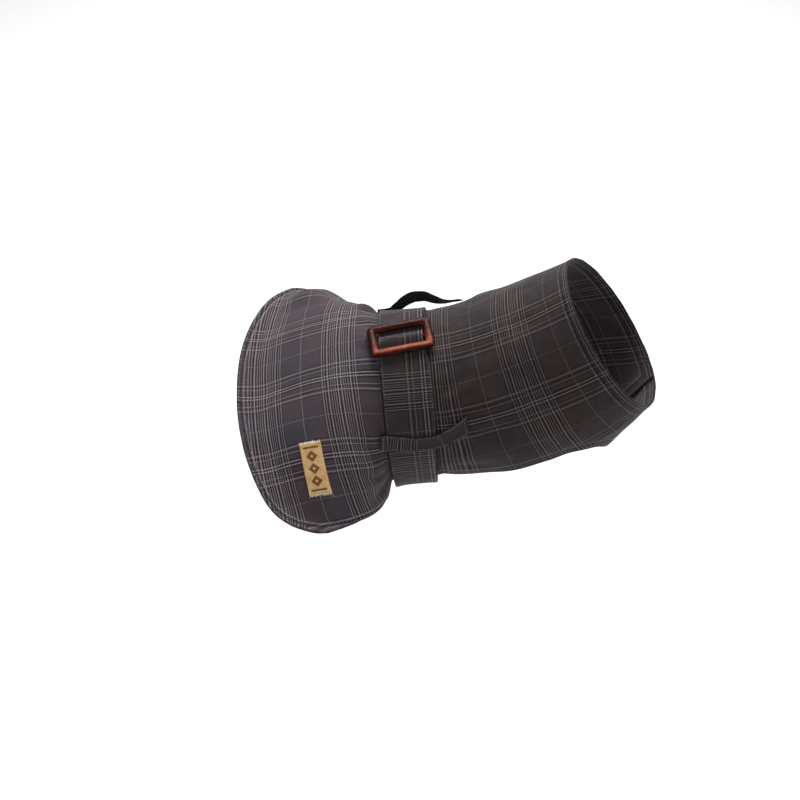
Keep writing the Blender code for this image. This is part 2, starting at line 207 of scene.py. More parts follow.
def distance_to(points: Array, line: Array) -> Array:
    """Measure the distance from flat points to a line of straight pieces.

    Args:
        points: Flat points, one per row.
        line: The line's corners, one per row.

    Returns:
        One distance per point.
    """
    best = np.full(len(points), 1e9)
    for start, end in zip(line[:-1], line[1:]):
        run = end - start
        share = np.clip(((points - start) @ run) / max(run @ run, 1e-9), 0, 1)
        gap = np.linalg.norm(points - start - share[:, None] * run, axis=1)
        best = np.minimum(best, gap)
    return best


def along_line(line: Array, pitch: float) -> tuple[Array, Array]:
    """Space places evenly along a line of straight pieces.

    Args:
        line: The line's corners, one per row.
        pitch: Distance between places.

    Returns:
        The places and the line's direction at each.
    """
    lengths = np.linalg.norm(np.diff(line, axis=0), axis=1)
    run = np.concatenate([[0.0], np.cumsum(lengths)])
    count = max(int(run[-1] / pitch), 1)
    at = (np.arange(count) + 0.5) * run[-1] / count
    places, ahead, behind = (
        np.column_stack([np.interp(at + step, run, line[:, k]) for k in range(2)])
        for step in (0.0, SMALL_STEP, -SMALL_STEP))
    return places, unit(ahead - behind)


def rippled(waves: tuple[Wave, ...], run: Array) -> Array:
    """Add waves up along a run."""
    return sum(np.sin(run / wave.length + wave.start) * wave.share for wave in waves)


def crease_height(creases: tuple[Crease, ...], station: Array, reach: Array) -> Array:
    """Add up the heights of creases at a place.

    Args:
        creases: The creases.
        station: Stations in millimetres.
        reach: Reaches in millimetres.

    Returns:
        Heights in millimetres.
    """
    total = np.zeros(np.broadcast(station, reach).shape)
    for crease in creases:
        run = np.array([crease.station_b - crease.station_a, crease.reach_b - crease.reach_a])
        length = np.hypot(*run)
        ahead = run / length
        from_s, from_r = station - crease.station_a, reach - crease.reach_a
        down = (from_s * ahead[0] + from_r * ahead[1]) / length
        side = from_r * ahead[0] - from_s * ahead[1]
        side = side - crease.bow * 4 * down * (1 - down)
        fade = soft_step(down / CREASE_IN) * soft_step((1 - down) / CREASE_OUT)
        total = total + crease.height * bell(side, crease.half) * fade
    return total


# --- worn form


def round_section(station: float, climb: float, radius: float) -> Section:
    """Give a circular section."""
    slopes = tuple(reach / radius * 180 / pi for reach in REACHES)
    return Section(station, climb, slopes, slopes)


RUMP_RIGHT = (0, 6, 17, 28, 43, 53, 75)
RUMP_LEFT = (0, 9, 17, 29, 70, 84, 105)
SECTIONS = (
    Section(-145, 34, RUMP_RIGHT, RUMP_LEFT),
    Section(-122, 30, RUMP_RIGHT, RUMP_LEFT),
    Section(-98, 26, RUMP_RIGHT, RUMP_LEFT),
    Section(-75, 22, (0, 6.5, 19, 31.5, 44, 54, 76), RUMP_LEFT),
    Section(-50, 17, (0, 10, 27, 46, 66, 75, 98), (0, 12, 30, 51, 66, 80, 112)),
    Section(-31, 9, (0, 20, 43, 66, 87, 107, 150), (0, 20, 41, 62, 84, 102, 145)),
    round_section(-19, 5, 61.5),
    round_section(0, 5, WAIST_RADIUS),
    round_section(17, 6, WAIST_RADIUS),
    round_section(32, 15, 63.0),
    round_section(50, 23, 67.0),
    round_section(82, 29, 66.5),
    round_section(122, 38, 57.0),
    round_section(132, 40, 55.0),
)


@dataclass
class WornForm:
    """The surface that the garment's inside follows."""

    step: float = 1.5
    farthest: int = 240
    stations: Array = field(init=False)
    climb: Array = field(init=False)
    along: Array = field(init=False)
    height: Array = field(init=False)
    table: Array = field(init=False)

    def __post_init__(self) -> None:
        """Work the form out from its sections."""
        given = [row.station for row in SECTIONS]
        self.stations = np.arange(given[0], given[-1] + self.step / 2, self.step)
        self.climb = np.radians(flowing(given, [row.climb for row in SECTIONS], self.stations))
        self.along = running_sum(np.cos(self.climb), self.step)
        self.height = running_sum(np.sin(self.climb), self.step)
        self.along -= np.interp(0, self.stations, self.along)
        self.height -= np.interp(0, self.stations, self.height)
        right = self._side([row.right for row in SECTIONS])
        left = self._side([row.left for row in SECTIONS])
        mirrored = [-left[0], left[1], -left[2]]
        self.table = np.stack([np.hstack([m[:, :0:-1], r]) for m, r in zip(mirrored, right)], -1)

    def _side(self, rows: list[tuple[float, ...]]) -> tuple[Array, Array, Array]:
        """Run each section outward from the spine.

        Args:
            rows: The slopes of one side, a row for each section.

        Returns:
            The sideways way, the drop and the slope at each millimetre.
        """
        reach = np.arange(self.farthest + 1.0)
        given = [row.station for row in SECTIONS]
        columns = [flowing(given, [row[k] for row in rows], self.stations)
                   for k in range(len(REACHES))]
        slopes = []
        for values in np.radians(np.array(columns).T):
            beyond = np.clip(reach - REACHES[-1], 0, None)
            last = (values[-1] - values[-2]) / (REACHES[-1] - REACHES[-2])
            slopes.append(flowing(REACHES, values, reach) + beyond * last)
        slope = np.array(slopes).T
        return running_sum(np.cos(slope), 1.0).T, running_sum(np.sin(slope), 1.0).T, slope.T

    def read(self, station: Array, reach: Array) -> Array:
        """Read the way to the right, the drop and the slope at a place.

        Args:
            station: Stations in millimetres.
            reach: Reaches in millimetres.

        Returns:
            The three values along the last axis.
        """
        row = np.clip((station - self.stations[0]) / self.step, 0, len(self.stations) - 1.001)
        column = np.clip(reach + self.farthest, 0, 2 * self.farthest - 0.001)
        i, j = row.astype(int), column.astype(int)
        u, v = (row - i)[..., None], (column - j)[..., None]
        near = self.table[i, j] * (1 - v) + self.table[i, j + 1] * v
        far = self.table[i + 1, j] * (1 - v) + self.table[i + 1, j + 1] * v
        return near * (1 - u) + far * u

    def place(self, station: Array, reach: Array, lift: Array = 0.0) -> Array:
        """Give the point at a place, lifted square to its section.

        Args:
            station: Stations in millimetres.
            reach: Reaches in millimetres.
            lift: Heights above the form.

        Returns:
            Points in millimetres.
        """
        station, reach = np.broadcast_arrays(np.asarray(station, float), np.asarray(reach, float))
        right, drop, slope = np.moveaxis(self.read(station, reach), -1, 0)
        right = right + lift * np.sin(slope)
        rise = lift * np.cos(slope) - drop
        climb = np.interp(station, self.stations, self.climb)
        along = np.interp(station, self.stations, self.along)
        height = np.interp(station, self.stations, self.height)
        return np.stack([along - np.sin(climb) * rise, -right,
                         height + np.cos(climb) * rise], -1)

    def radius(self, station: Array) -> Array:
        """Give the form's radius where its sections are circles."""
        radii = [REACHES[-1] / np.radians(row.right[-1]) for row in SECTIONS]
        return flowing([row.station for row in SECTIONS], radii, station)


def outward(surface: Callable[[Array, Array], Array], station: Array, reach: Array) -> Array:
    """Give a surface's outward direction from small steps each way.

    Args:
        surface: Gives points for stations and reaches.
        station: Stations in millimetres.
        reach: Reaches in millimetres.

    Returns:
        Vectors of length one.
    """
    step = SMALL_STEP
    ahead = surface(station + step, reach) - surface(station - step, reach)
    aside = surface(station, reach + step) - surface(station, reach - step)
    return unit(np.cross(aside, ahead))


def lap_lift(reach: Array, radius: Array) -> Array:
    """Lift the closing end that lies on top, on a section of this radius."""
    start = SLIDE + pi * radius - LAP / 2 - LAP_LEAD
    return (CLOTH + 1.5 * GAP) * soft_step((reach - start) / LAP_RUN)


# --- mesh helpers


def nothing_selected() -> None:
    """Leave edit mode and deselect everything."""
    if bpy.context.object and bpy.context.object.mode != "OBJECT":
        bpy.ops.object.mode_set(mode="OBJECT")
    bpy.ops.object.select_all(action="DESELECT")


def only(piece: Piece) -> None:
    """Make one object the selected and active one."""
    nothing_selected()
    piece.select_set(True)
    bpy.context.view_layer.objects.active = piece


@contextmanager
def all_edited() -> Iterator[None]:
    """Work in edit mode on all of the active piece."""
    bpy.ops.object.mode_set(mode="EDIT")
    bpy.ops.mesh.select_all(action="SELECT")
    yield
    bpy.ops.object.mode_set(mode="OBJECT")


def flat_grid(name: str, columns: int, rows: int) -> tuple[Piece, Array, Array]:
    """Add a flat grid, and say which column and row each of its points is in.

    Args:
        name: The piece's name.
        columns: Points across.
        rows: Points up.

    Returns:
        The piece, the columns and the rows.
    """
    nothing_selected()
    bpy.ops.mesh.primitive_grid_add(x_subdivisions=columns - 1, y_subdivisions=rows - 1, size=2)
    piece = bpy.context.object
    piece.name = name
    piece.data.name = name
    at = own_points(piece)
    column = np.rint((at[:, 0] + 1) / 2 * (columns - 1)).astype(int)
    row = np.rint((at[:, 1] + 1) / 2 * (rows - 1)).astype(int)
    return piece, column, row


def set_points(piece: Piece, points: Array) -> None:
    """Move a mesh's points to places given in millimetres."""
    piece.data.vertices.foreach_set("co", (np.asarray(points) * MM).ravel())
    piece.data.update()


def own_points(piece: Piece) -> Array:
    """Read a mesh's points in its own units."""
    at = np.empty(len(piece.data.vertices) * 3)
    piece.data.vertices.foreach_get("co", at)
    return at.reshape(-1, 3)


def turn_outward(piece: Piece, out: Array) -> None:
    """Turn a sheet's faces over if its middle face points away from a direction.

    Args:
        piece: The sheet.
        out: The outward direction at its middle face.
    """
    middle = piece.data.polygons[len(piece.data.polygons) // 2]
    if np.dot(np.array(middle.normal), out) < 0:
        only(piece)
        with all_edited():
            bpy.ops.mesh.flip_normals()


def set_cut_uv(piece: Piece, flat: Array) -> None:
    """Write each point's flat place, in millimetres, to the cut's UV map as metres.

    Args:
        piece: The piece.
        flat: Station and reach, or length and width, of each point.
    """
    mesh = piece.data
    while mesh.uv_layers:
        mesh.uv_layers.remove(mesh.uv_layers[0])
    layer = mesh.uv_layers.new(name=CUT_UV)
    corners = np.empty(len(mesh.loops), int)
    mesh.loops.foreach_get("vertex_index", corners)
    layer.uv.foreach_set("vector", (flat[corners] * MM).astype(np.float32).ravel())


def set_edge(piece: Piece, distance: Array) -> None:
    """Write each point's distance from the cut edge, in millimetres, to an attribute."""
    layer = piece.data.attributes.new(EDGE, "FLOAT", "POINT")
    layer.data.foreach_set("value", np.asarray(distance, np.float32))


def apply_modifier(piece: Piece, kind: str, **settings: object) -> None:
    """Add one modifier with its settings and apply it.

    Args:
        piece: The piece.
        kind: The modifier's type.
        **settings: Values for its properties.
    """
    only(piece)
    bpy.ops.object.modifier_add(type=kind)
    modifier = piece.modifiers[-1]
    for key, value in settings.items():
        setattr(modifier, key, value)
    bpy.ops.object.modifier_apply(modifier=modifier.name)


def delete_faces(piece: Piece, unwanted: Array) -> None:
    """Delete the marked faces in edit mode.

    Args:
        piece: The piece.
        unwanted: One mark per face.
    """
    only(piece)
    bpy.ops.object.mode_set(mode="EDIT")
    bpy.ops.mesh.select_mode(type="FACE")
    bpy.ops.mesh.select_all(action="DESELECT")
    bpy.ops.object.mode_set(mode="OBJECT")
    piece.data.polygons.foreach_set("select", unwanted)
    bpy.ops.object.mode_set(mode="EDIT")
    bpy.ops.mesh.delete(type="FACE")
    bpy.ops.object.mode_set(mode="OBJECT")


def smooth(piece: Piece, degrees: float) -> None:
    """Shade a piece smoothly, but for edges sharper than the angle."""
    only(piece)
    bpy.ops.object.shade_smooth_by_angle(angle=radians(degrees), keep_sharp_edges=False)


def soften(piece: Piece, degrees: float = 80.0) -> None:
    """Divide a piece's faces once and shade it smoothly."""
    apply_modifier(piece, "SUBSURF", levels=1, render_levels=1)
    smooth(piece, degrees)


def thicken(piece: Piece, wall: float, degrees: float = 80.0) -> None:
    """Give a sheet its even wall, inward from its outer face, and soften it."""
    apply_modifier(piece, "SOLIDIFY", thickness=wall * MM, offset=-1.0)
    soften(piece, degrees)


def put_on(piece: Piece, finish: Finish) -> None:
    """Give a piece one finish, in place of any that it has."""
    piece.data.materials.clear()
    piece.data.materials.append(finish.make())


def stamp(name: str, model: Piece, frames: list[Array]) -> Piece:
    """Repeat one modelled shape at many places in one mesh, and remove the model.

    Args:
        name: The new piece's name.
        model: The shape, in millimetres as its own units.
        frames: A 3 by 4 matrix for each copy, in millimetres.

    Returns:
        The new piece.
    """
    own = own_points(model)
    faces = [tuple(face.vertices) for face in model.data.polygons]
    points, made = [], []
    for matrix in frames:
        start = len(own) * len(points)
        points.append(own @ matrix[:, :3].T + matrix[:, 3])
        made += [tuple(start + k for k in face) for face in faces]
    mesh = bpy.data.meshes.new(name)
    mesh.from_pydata([tuple(p) for p in np.vstack(points) * MM], [], made)
    mesh.shade_smooth()
    piece = bpy.data.objects.new(name, mesh)
    bpy.context.collection.objects.link(piece)
    bpy.data.objects.remove(model, do_unlink=True)
    return piece


# --- shading


@dataclass
class NodeDesk:
    """A node tree under construction."""

    tree: bpy.types.NodeTree

    def add(self, kind: str, inputs: dict[int | str, object] | None = None,
            **settings: object) -> bpy.types.Node:
        """Add a node, set it up and feed its inputs.

        Args:
            kind: The node's type.
            inputs: Values or sockets for its inputs, by name or number.
            **settings: Values for its properties.

        Returns:
            The node.
        """
        node = self.tree.nodes.new(kind)
        for key, value in settings.items():
            setattr(node, key, value)
        self.feed(node, inputs or {})
        return node

    def feed(self, node: bpy.types.Node, inputs: dict[int | str, object]) -> None:
        """Set a node's inputs, or link them.

        Args:
            node: The node.
            inputs: Values or sockets for its inputs, by name or number.
        """
        for key, value in inputs.items():
            if isinstance(value, Socket):
                self.tree.links.new(value, node.inputs[key])
            else:
                node.inputs[key].default_value = value

    def maths(self, operation: str, *values: object, clamp: bool = False) -> Socket:
        """Add a Math node."""
        node = self.add("ShaderNodeMath", dict(enumerate(values)), operation=operation,
                        use_clamp=clamp)
        return node.outputs[0]

    def times(self, first: object, second: object, clamp: bool = False) -> Socket:
        """Multiply two values."""
        return self.maths("MULTIPLY", first, second, clamp=clamp)

    def plus(self, first: object, second: object) -> Socket:
        """Add two values."""
        return self.maths("ADD", first, second)

    def minus(self, first: object, second: object, clamp: bool = False) -> Socket:
        """Take the second value from the first."""
        return self.maths("SUBTRACT", first, second, clamp=clamp)

    def size(self, value: object) -> Socket:
        """Drop a value's sign."""
        return self.maths("ABSOLUTE", value)

    def ramp(self, value: object, low: float, high: float, to_low: float = 0.0,
             to_high: float = 1.0, soft: bool = True) -> Socket:
        """Map a value from one range to another, with soft ends."""
        node = self.add("ShaderNodeMapRange",
                        {0: value, 1: low, 2: high, 3: to_low, 4: to_high},
                        interpolation_type="SMOOTHSTEP" if soft else "LINEAR", clamp=True)
        return node.outputs[0]

    def mix(self, share: object, first: object, second: object, blend: str = "MIX") -> Socket:
        """Mix two colours."""
        node = self.add("ShaderNodeMix", {0: share, 6: first, 7: second}, data_type="RGBA",
                        blend_type=blend)
        return node.outputs[2]

    def noise(self, vector: object, scale: float, detail: float = 3.0, rough: float = 0.5
              ) -> Socket:
        """Add a noise texture and give its value."""
        node = self.add("ShaderNodeTexNoise", {"Vector": vector, "Scale": scale,
                                               "Detail": detail, "Roughness": rough})
        return node.outputs[0]

    def shade(self, colour: object, factor: Socket) -> Socket:
        """Multiply a colour by one number."""
        grey = self.add("ShaderNodeCombineColor", {0: factor, 1: factor, 2: factor}).outputs[0]
        return self.mix(1.0, colour, grey, "MULTIPLY")

    def bump(self, height: Socket, strength: float, distance: float) -> Socket:
        """Turn a height into a normal, with the distance in metres."""
        return self.add("ShaderNodeBump", {"Height": height, "Strength": strength,
                                           "Distance": distance}).outputs[0]


def rgba(colour: Colour) -> tuple[float, float, float, float]:
    """Add full cover to a colour."""
    return (*colour, 1.0)


def group_desk(name: str, inputs: dict[str, float], outputs: tuple[str, ...]
               ) -> tuple[NodeDesk, bpy.types.Node, bpy.types.Node]:
    """Start a node group of plain numbers.

    Args:
        name: The group's name.
        inputs: Its inputs and their usual values.
        outputs: Its outputs.

    Returns:
        The desk, the group's input node and its output node.
    """
    tree = bpy.data.node_groups.new(name, "ShaderNodeTree")
    for key, value in inputs.items():
        socket = tree.interface.new_socket(key, in_out="INPUT", socket_type="NodeSocketFloat")
        socket.default_value = value
    for key in outputs:
        tree.interface.new_socket(key, in_out="OUTPUT", socket_type="NodeSocketFloat")
    desk = NodeDesk(tree)
    return desk, desk.add("NodeGroupInput"), desk.add("NodeGroupOutput")


@dataclass(frozen=True)
class CheckChart:
    """One set of lines of the glen check, repeated and mirrored about each group's middle."""

    name: str
    light: tuple[CheckLine, ...]
    dark: tuple[CheckLine, ...]
    repeat: float = 56.0

    def group(self) -> bpy.types.NodeTree:
        """Build the chart as a node group, or find it.

        Returns:
            The group, which gives how light and how dark the lines are at a place.
        """
        if self.name in bpy.data.node_groups:
            return bpy.data.node_groups[self.name]
        desk, given, result = group_desk(self.name, {"Place": 0.0, "Middle": 0.0},
                                         ("Light", "Dark"))
        moved = desk.minus(given.outputs["Place"], given.outputs["Middle"])
        away = desk.maths("PINGPONG", moved, self.repeat / 2)
        for key, lines in (("Light", self.light), ("Dark", self.dark)):
            total = None
            for line in lines:
                gap = desk.size(desk.minus(away, line.offset))
                one = desk.ramp(gap, line.half, line.half * 0.25, 0.0, line.strength)
                total = one if total is None else desk.maths("MAXIMUM", total, one)
            desk.feed(result, {key: total})
        return desk.tree


DENSE_CHART = CheckChart(
    "dense_check_lines",
    light=table(
        CheckLine,
        (1.25, 0.48, 1.0), (3.0, 0.36, 0.66), (4.4, 0.36, 0.60),
        (6.0, 0.36, 0.60), (8.0, 0.56, 0.90), (10.3, 0.36, 0.62),
        (12.0, 0.44, 0.78), (28.0, 0.40, 0.52),
    ),
    dark=table(
        CheckLine,
        (0.0, 0.62, 0.9), (2.1, 0.50, 0.9), (3.7, 0.45, 0.8),
        (5.2, 0.55, 0.8), (7.0, 0.50, 0.9), (9.2, 0.62, 0.9),
        (11.2, 0.50, 0.9), (12.9, 0.40, 0.5),
    ),
)
SPARSE_CHART = CheckChart(
    "sparse_check_lines",
    light=table(
        CheckLine,
        (1.15, 0.50, 1.0), (7.0, 0.44, 0.62), (10.7, 0.75, 0.62),
        (28.0, 0.40, 0.36),
    ),
    dark=table(
        CheckLine,
        (0.0, 0.55, 1.0), (2.4, 0.65, 0.9), (6.1, 0.50, 0.6),
        (8.6, 0.80, 0.6), (12.3, 0.65, 0.5),
    ),
)


def twill_group() -> bpy.types.NodeTree:
    """Build the twill weave as a node group, or find it.

    Returns:
        The group: Over says which yarn lies on top, Height is the relief from 0 to 1.
    """
    name = "twill_weave"
    if name in bpy.data.node_groups:
        return bpy.data.node_groups[name]
    desk, given, result = group_desk(name, {"Along": 0.0, "Across": 0.0, "Wale": 1.5},
                                     ("Over", "Height"))
    along, across = given.outputs["Along"], given.outputs["Across"]
    slant = desk.maths("DIVIDE", desk.minus(along, across), given.outputs["Wale"])
    wave = desk.maths("SINE", desk.times(slant, 2 * pi))
    over = desk.ramp(wave, -0.45, 0.45)
    yarn = desk.maths("DIVIDE", given.outputs["Wale"], 4.0)
    ribs = []
    for place in (across, along):
        turn = desk.times(desk.maths("DIVIDE", place, yarn), pi)
        ribs.append(desk.size(desk.maths("SINE", turn)))
    warp = desk.times(ribs[0], over)
    weft = desk.times(ribs[1], desk.minus(1.0, over))
    fine = desk.maths("MAXIMUM", warp, weft)
    wale = desk.times(desk.size(wave), 0.6)
    height = desk.plus(desk.times(fine, 0.4), wale)
    desk.feed(result, {"Over": over, "Height": height})
    return desk.tree


def wear_and_highlight_group() -> bpy.types.NodeTree:
    """Build the worn edge of cloth, with its painted highlight, as a node group, or find it.

    Returns:
        The group, which gives how rubbed the cloth is, with a painted highlight on folded edges,
        from its edge distance and a noise.
    """
    name = "rubbed_edge"
    if name in bpy.data.node_groups:
        return bpy.data.node_groups[name]
    desk, given, result = group_desk(name, {"Edge": 50.0, "Noise": 0.5, "Width": 1.8},
                                     ("Rubbed",))
    share = desk.maths("DIVIDE", given.outputs["Edge"], given.outputs["Width"])
    near = desk.minus(1.0, share, clamp=True)
    spotty = desk.ramp(given.outputs["Noise"], 0.35, 0.65)
    desk.feed(result, {"Rubbed": desk.times(near, spotty)})
    return desk.tree


def new_material(name: str) -> tuple[bpy.types.Material, NodeDesk, bpy.types.Node]:
    """Start a material.

    Args:
        name: The material's name.

    Returns:
        The material, its desk and its shader.
    """
    material = bpy.data.materials.new(name)
    material.use_nodes = True
    return material, NodeDesk(material.node_tree), material.node_tree.nodes["Principled BSDF"]


@dataclass(frozen=True)
class PlaidFinish:
    """Dark grey glen check on a twill ground."""

    name: str
    grain: Grain = Grain.LENGTHWISE
    dense_middle: float = -47.0
    sparse_middle: float = 28.0
    ground: Colour = (0.055, 0.0350, 0.0410)
    second: Colour = (0.038, 0.0340, 0.0415)
    yarn: Colour = (0.46, 0.390, 0.42)
    wale: float = 1.6
    line_light: float = 0.66
    line_dark: float = 0.12
    # Edge wear with a painted highlight on the folded edges: how much yarn colour shows there.
    rub_and_highlight: float = 0.20
    stitch_line: float = STITCH_LINE
    # Painted highlight along the hem's raised ridge: how far inside the stitch line it lies, and
    # how strong.
    ridge_at: float = 1.25
    ridge_highlight: float = 0.27
    # Painted shade beside the belt: cloth within this many millimetres of the waist is darkened,
    # fading out over the next field's width.
    seam_shade_width: float = 0.0
    seam_shade_fade: float = 5.0

    def make(self) -> bpy.types.Material:
        """Build the material.

        Returns:
            The material.
        """
        material, desk, shader = new_material(self.name)
        place = desk.add("ShaderNodeUVMap", uv_map=CUT_UV).outputs[0]
        split = desk.add("ShaderNodeSeparateXYZ", {0: place})
        wander = desk.noise(place, 55.0, 2.0)
        wander = desk.times(desk.minus(wander, 0.5), 0.7)
        station = desk.plus(desk.times(split.outputs[0], PER_METRE), wander)
        reach = desk.minus(desk.times(split.outputs[1], PER_METRE), wander)
        first, other = station, reach
        if self.grain is Grain.TURNED:
            first, other = reach, station
        twill = desk.add("ShaderNodeGroup", {"Along": station, "Across": reach,
                                             "Wale": self.wale}, node_tree=twill_group())
        dense = self._lines(desk, DENSE_CHART, first, self.dense_middle)
        sparse = self._lines(desk, SPARSE_CHART, other, self.sparse_middle)
        over = twill.outputs["Over"]
        show_dense = desk.ramp(over, 0.0, 1.0, 0.30, 1.0, soft=False)
        show_sparse = desk.ramp(over, 0.0, 1.0, 1.0, 0.30, soft=False)
        light = desk.maths("MAXIMUM", desk.times(dense[0], show_dense),
                           desk.times(sparse[0], show_sparse))
        dark = desk.maths("MAXIMUM", dense[1], sparse[1])
        colour = self._ground(desk, place, over, dark)
        slub = desk.ramp(desk.noise(place, 900.0, 2.0), 0.25, 0.75, 0.65, 1.1, soft=False)
        light = desk.times(desk.times(light, slub), self.line_light, clamp=True)
        colour = desk.mix(light, colour, rgba(self.yarn))
        colour = self._wear_and_painted_light(desk, place, colour, split.outputs[0])
        desk.feed(shader, {"Base Color": colour})
        self._surface(desk, shader, place, twill.outputs["Height"], light)
        return material

    def _lines(self, desk: NodeDesk, chart: CheckChart, place: Socket,
               middle: float) -> tuple[Socket, Socket]:
        """Place one set of lines."""
        node = desk.add("ShaderNodeGroup", {"Place": place, "Middle": middle},
                        node_tree=chart.group())
        return node.outputs["Light"], node.outputs["Dark"]

    def _ground(self, desk: NodeDesk, place: Socket, over: Socket, dark: Socket) -> Socket:
        """Colour the ground of the cloth.

        Args:
            desk: The material's desk.
            place: The flat place.
            over: Which yarn lies on top.
            dark: How dark the lines are.

        Returns:
            The colour.
        """
        cloudy = desk.ramp(desk.noise(place, 28.0, 4.0), 0.3, 0.7)
        colour = desk.mix(cloudy, rgba(self.ground), rgba(self.second))
        shade = desk.ramp(over, 0.0, 1.0, 0.60, 1.34, soft=False)
        speck = desk.ramp(desk.noise(place, 1500.0, 2.0), 0.3, 0.7, 0.86, 1.14, soft=False)
        shade = desk.times(shade, speck)
        lines = desk.ramp(dark, 0.0, 1.0, 1.0, self.line_dark, soft=False)
        return desk.shade(colour, desk.times(shade, lines))

    def _wear_and_painted_light(self, desk: NodeDesk, place: Socket, colour: Socket, station: Socket) -> Socket:
        """Rub the edges lighter, as wear with a painted highlight, paint a highlight on the hem's
        ridge, and paint shade in the stitch groove, under the cut edge and beside the belt.

        Args:
            desk: The material's desk.
            place: The flat place.
            colour: The colour so far.
            station: The station in metres.

        Returns:
            The colour.
        """
        edge = desk.add("ShaderNodeAttribute", attribute_name=EDGE).outputs["Fac"]
        node = desk.add("ShaderNodeGroup", {"Edge": edge, "Noise": desk.noise(place, 350.0, 2.0)},
                        node_tree=wear_and_highlight_group())
        # Edge wear, with a painted highlight on the folded edges.
        share = desk.times(node.outputs["Rubbed"], self.rub_and_highlight)
        colour = desk.mix(share, colour, rgba(self.yarn))
        off_line = desk.minus(edge, self.stitch_line)
        off_ridge = desk.size(desk.minus(off_line, self.ridge_at))
        # Painted highlight along the hem's raised ridge.
        ridge = desk.ramp(off_ridge, 0.25, 0.75, self.ridge_highlight, 0.0)
        broken = desk.ramp(desk.noise(place, 620.0, 1.0), 0.40, 0.60, 0.35, 1.0)
        colour = desk.mix(desk.times(ridge, broken), colour, rgba(self.yarn))
        # Painted shade in the stitch line's groove and under the turned cut edge.
        shade = desk.times(desk.ramp(desk.size(off_line), 0.3, 0.9, 0.34, 1.0),
                           desk.ramp(edge, 0.2, 1.1, 0.38, 1.0))
        # Painted shade beside the belt, where its shadow falls on the cloth.
        if self.seam_shade_width > 0:
            away = desk.times(desk.size(station), PER_METRE)
            seam = desk.ramp(away, self.seam_shade_width - self.seam_shade_fade, self.seam_shade_width, 0.25, 1.0)
            shade = desk.times(shade, seam)
        return desk.shade(colour, shade)

    def _surface(self, desk: NodeDesk, shader: bpy.types.Node, place: Socket,
                 height: Socket, light: Socket) -> None:
        """Set the roughness, the nap and the relief.

        Args:
            desk: The material's desk.
            shader: The material's shader.
            place: The flat place.
            height: The weave's relief.
        """
        dull = desk.ramp(desk.noise(place, 120.0, 3.0), 0.3, 0.7, 0.78, 0.94)
        rough = desk.times(desk.noise(place, 700.0, 3.0), 0.35)
        total = desk.plus(desk.plus(height, rough), desk.times(light, 0.25))
        desk.feed(shader, {"Roughness": dull, "Specular IOR Level": 0.20, "Sheen Weight": 0.13,
                           "Sheen Roughness": 0.40, "Sheen Tint": (0.90, 0.88, 0.92, 1.0),
                           "Normal": desk.bump(total, 0.55, 0.00016)})


@dataclass(frozen=True)
class BuckleFinish:
    """Glossy red-brown moulding with streaks along it, like polished shell or wood; painted shade
    darkens its far bar and outer rim, painted light brightens its near bar.
    """

    name: str = "buckle_moulding"
    deep: Colour = (0.016, 0.0034, 0.0030)
    red: Colour = (0.088, 0.0140, 0.0085)
    amber: Colour = (0.270, 0.072, 0.0290)
    half_length: float = 0.0227
    half_width: float = 0.0140

    def make(self) -> bpy.types.Material:
        """Build the material.

        Returns:
            The material.
        """
        material, desk, shader = new_material(self.name)
        place = desk.add("ShaderNodeUVMap", uv_map=CUT_UV).outputs[0]
        stretched = desk.add("ShaderNodeMapping", {"Vector": place, "Scale": (90, 420, 1)})
        streak = desk.noise(stretched.outputs[0], 1.0, 5.0, 0.62)
        cloud = desk.noise(place, 70.0, 4.0, 0.6)
        split = desk.add("ShaderNodeSeparateXYZ", {0: place})
        # Painted light and shade: the near bar is painted lighter and the far bar darker, as the
        # light falls on them.
        side = desk.ramp(split.outputs[1], -0.013, 0.006, 0.95, 0.10)
        tone = desk.plus(desk.times(streak, 1.10), desk.times(cloud, 0.75))
        tone = desk.plus(desk.minus(tone, 0.90), side)
        # Painted shade towards the frame's bevelled outer rim.
        tone = desk.minus(tone, self._rim_shade(desk, split))
        low = desk.mix(desk.ramp(tone, 0.05, 0.55), rgba(self.deep), rgba(self.red))
        colour = desk.mix(desk.ramp(tone, 0.55, 1.15), low, rgba(self.amber))
        dull = desk.ramp(desk.noise(place, 260.0, 3.0), 0.35, 0.7, 0.30, 0.50)
        desk.feed(shader, {"Base Color": colour, "Roughness": dull, "Coat Weight": 0.02,
                           "Coat Roughness": 0.10, "Specular IOR Level": 0.09,
                           "Specular Tint": (1.0, 0.50, 0.38, 1.0),
                           "Normal": desk.bump(streak, 0.18, 0.0001)})
        return material

    def _rim_shade(self, desk: NodeDesk, split: bpy.types.Node) -> Socket:
        """Give the painted shade that darkens the frame towards its bevelled outer rim.

        Args:
            desk: The material's desk.
            split: The node with the place along and across the frame.

        Returns:
            What is taken from the tone.
        """
        along = desk.minus(self.half_length, desk.size(split.outputs[0]))
        across = desk.minus(self.half_width, desk.size(split.outputs[1]))
        return desk.ramp(desk.maths("MINIMUM", along, across), 0.0004, 0.0028, 0.90, 0.0)


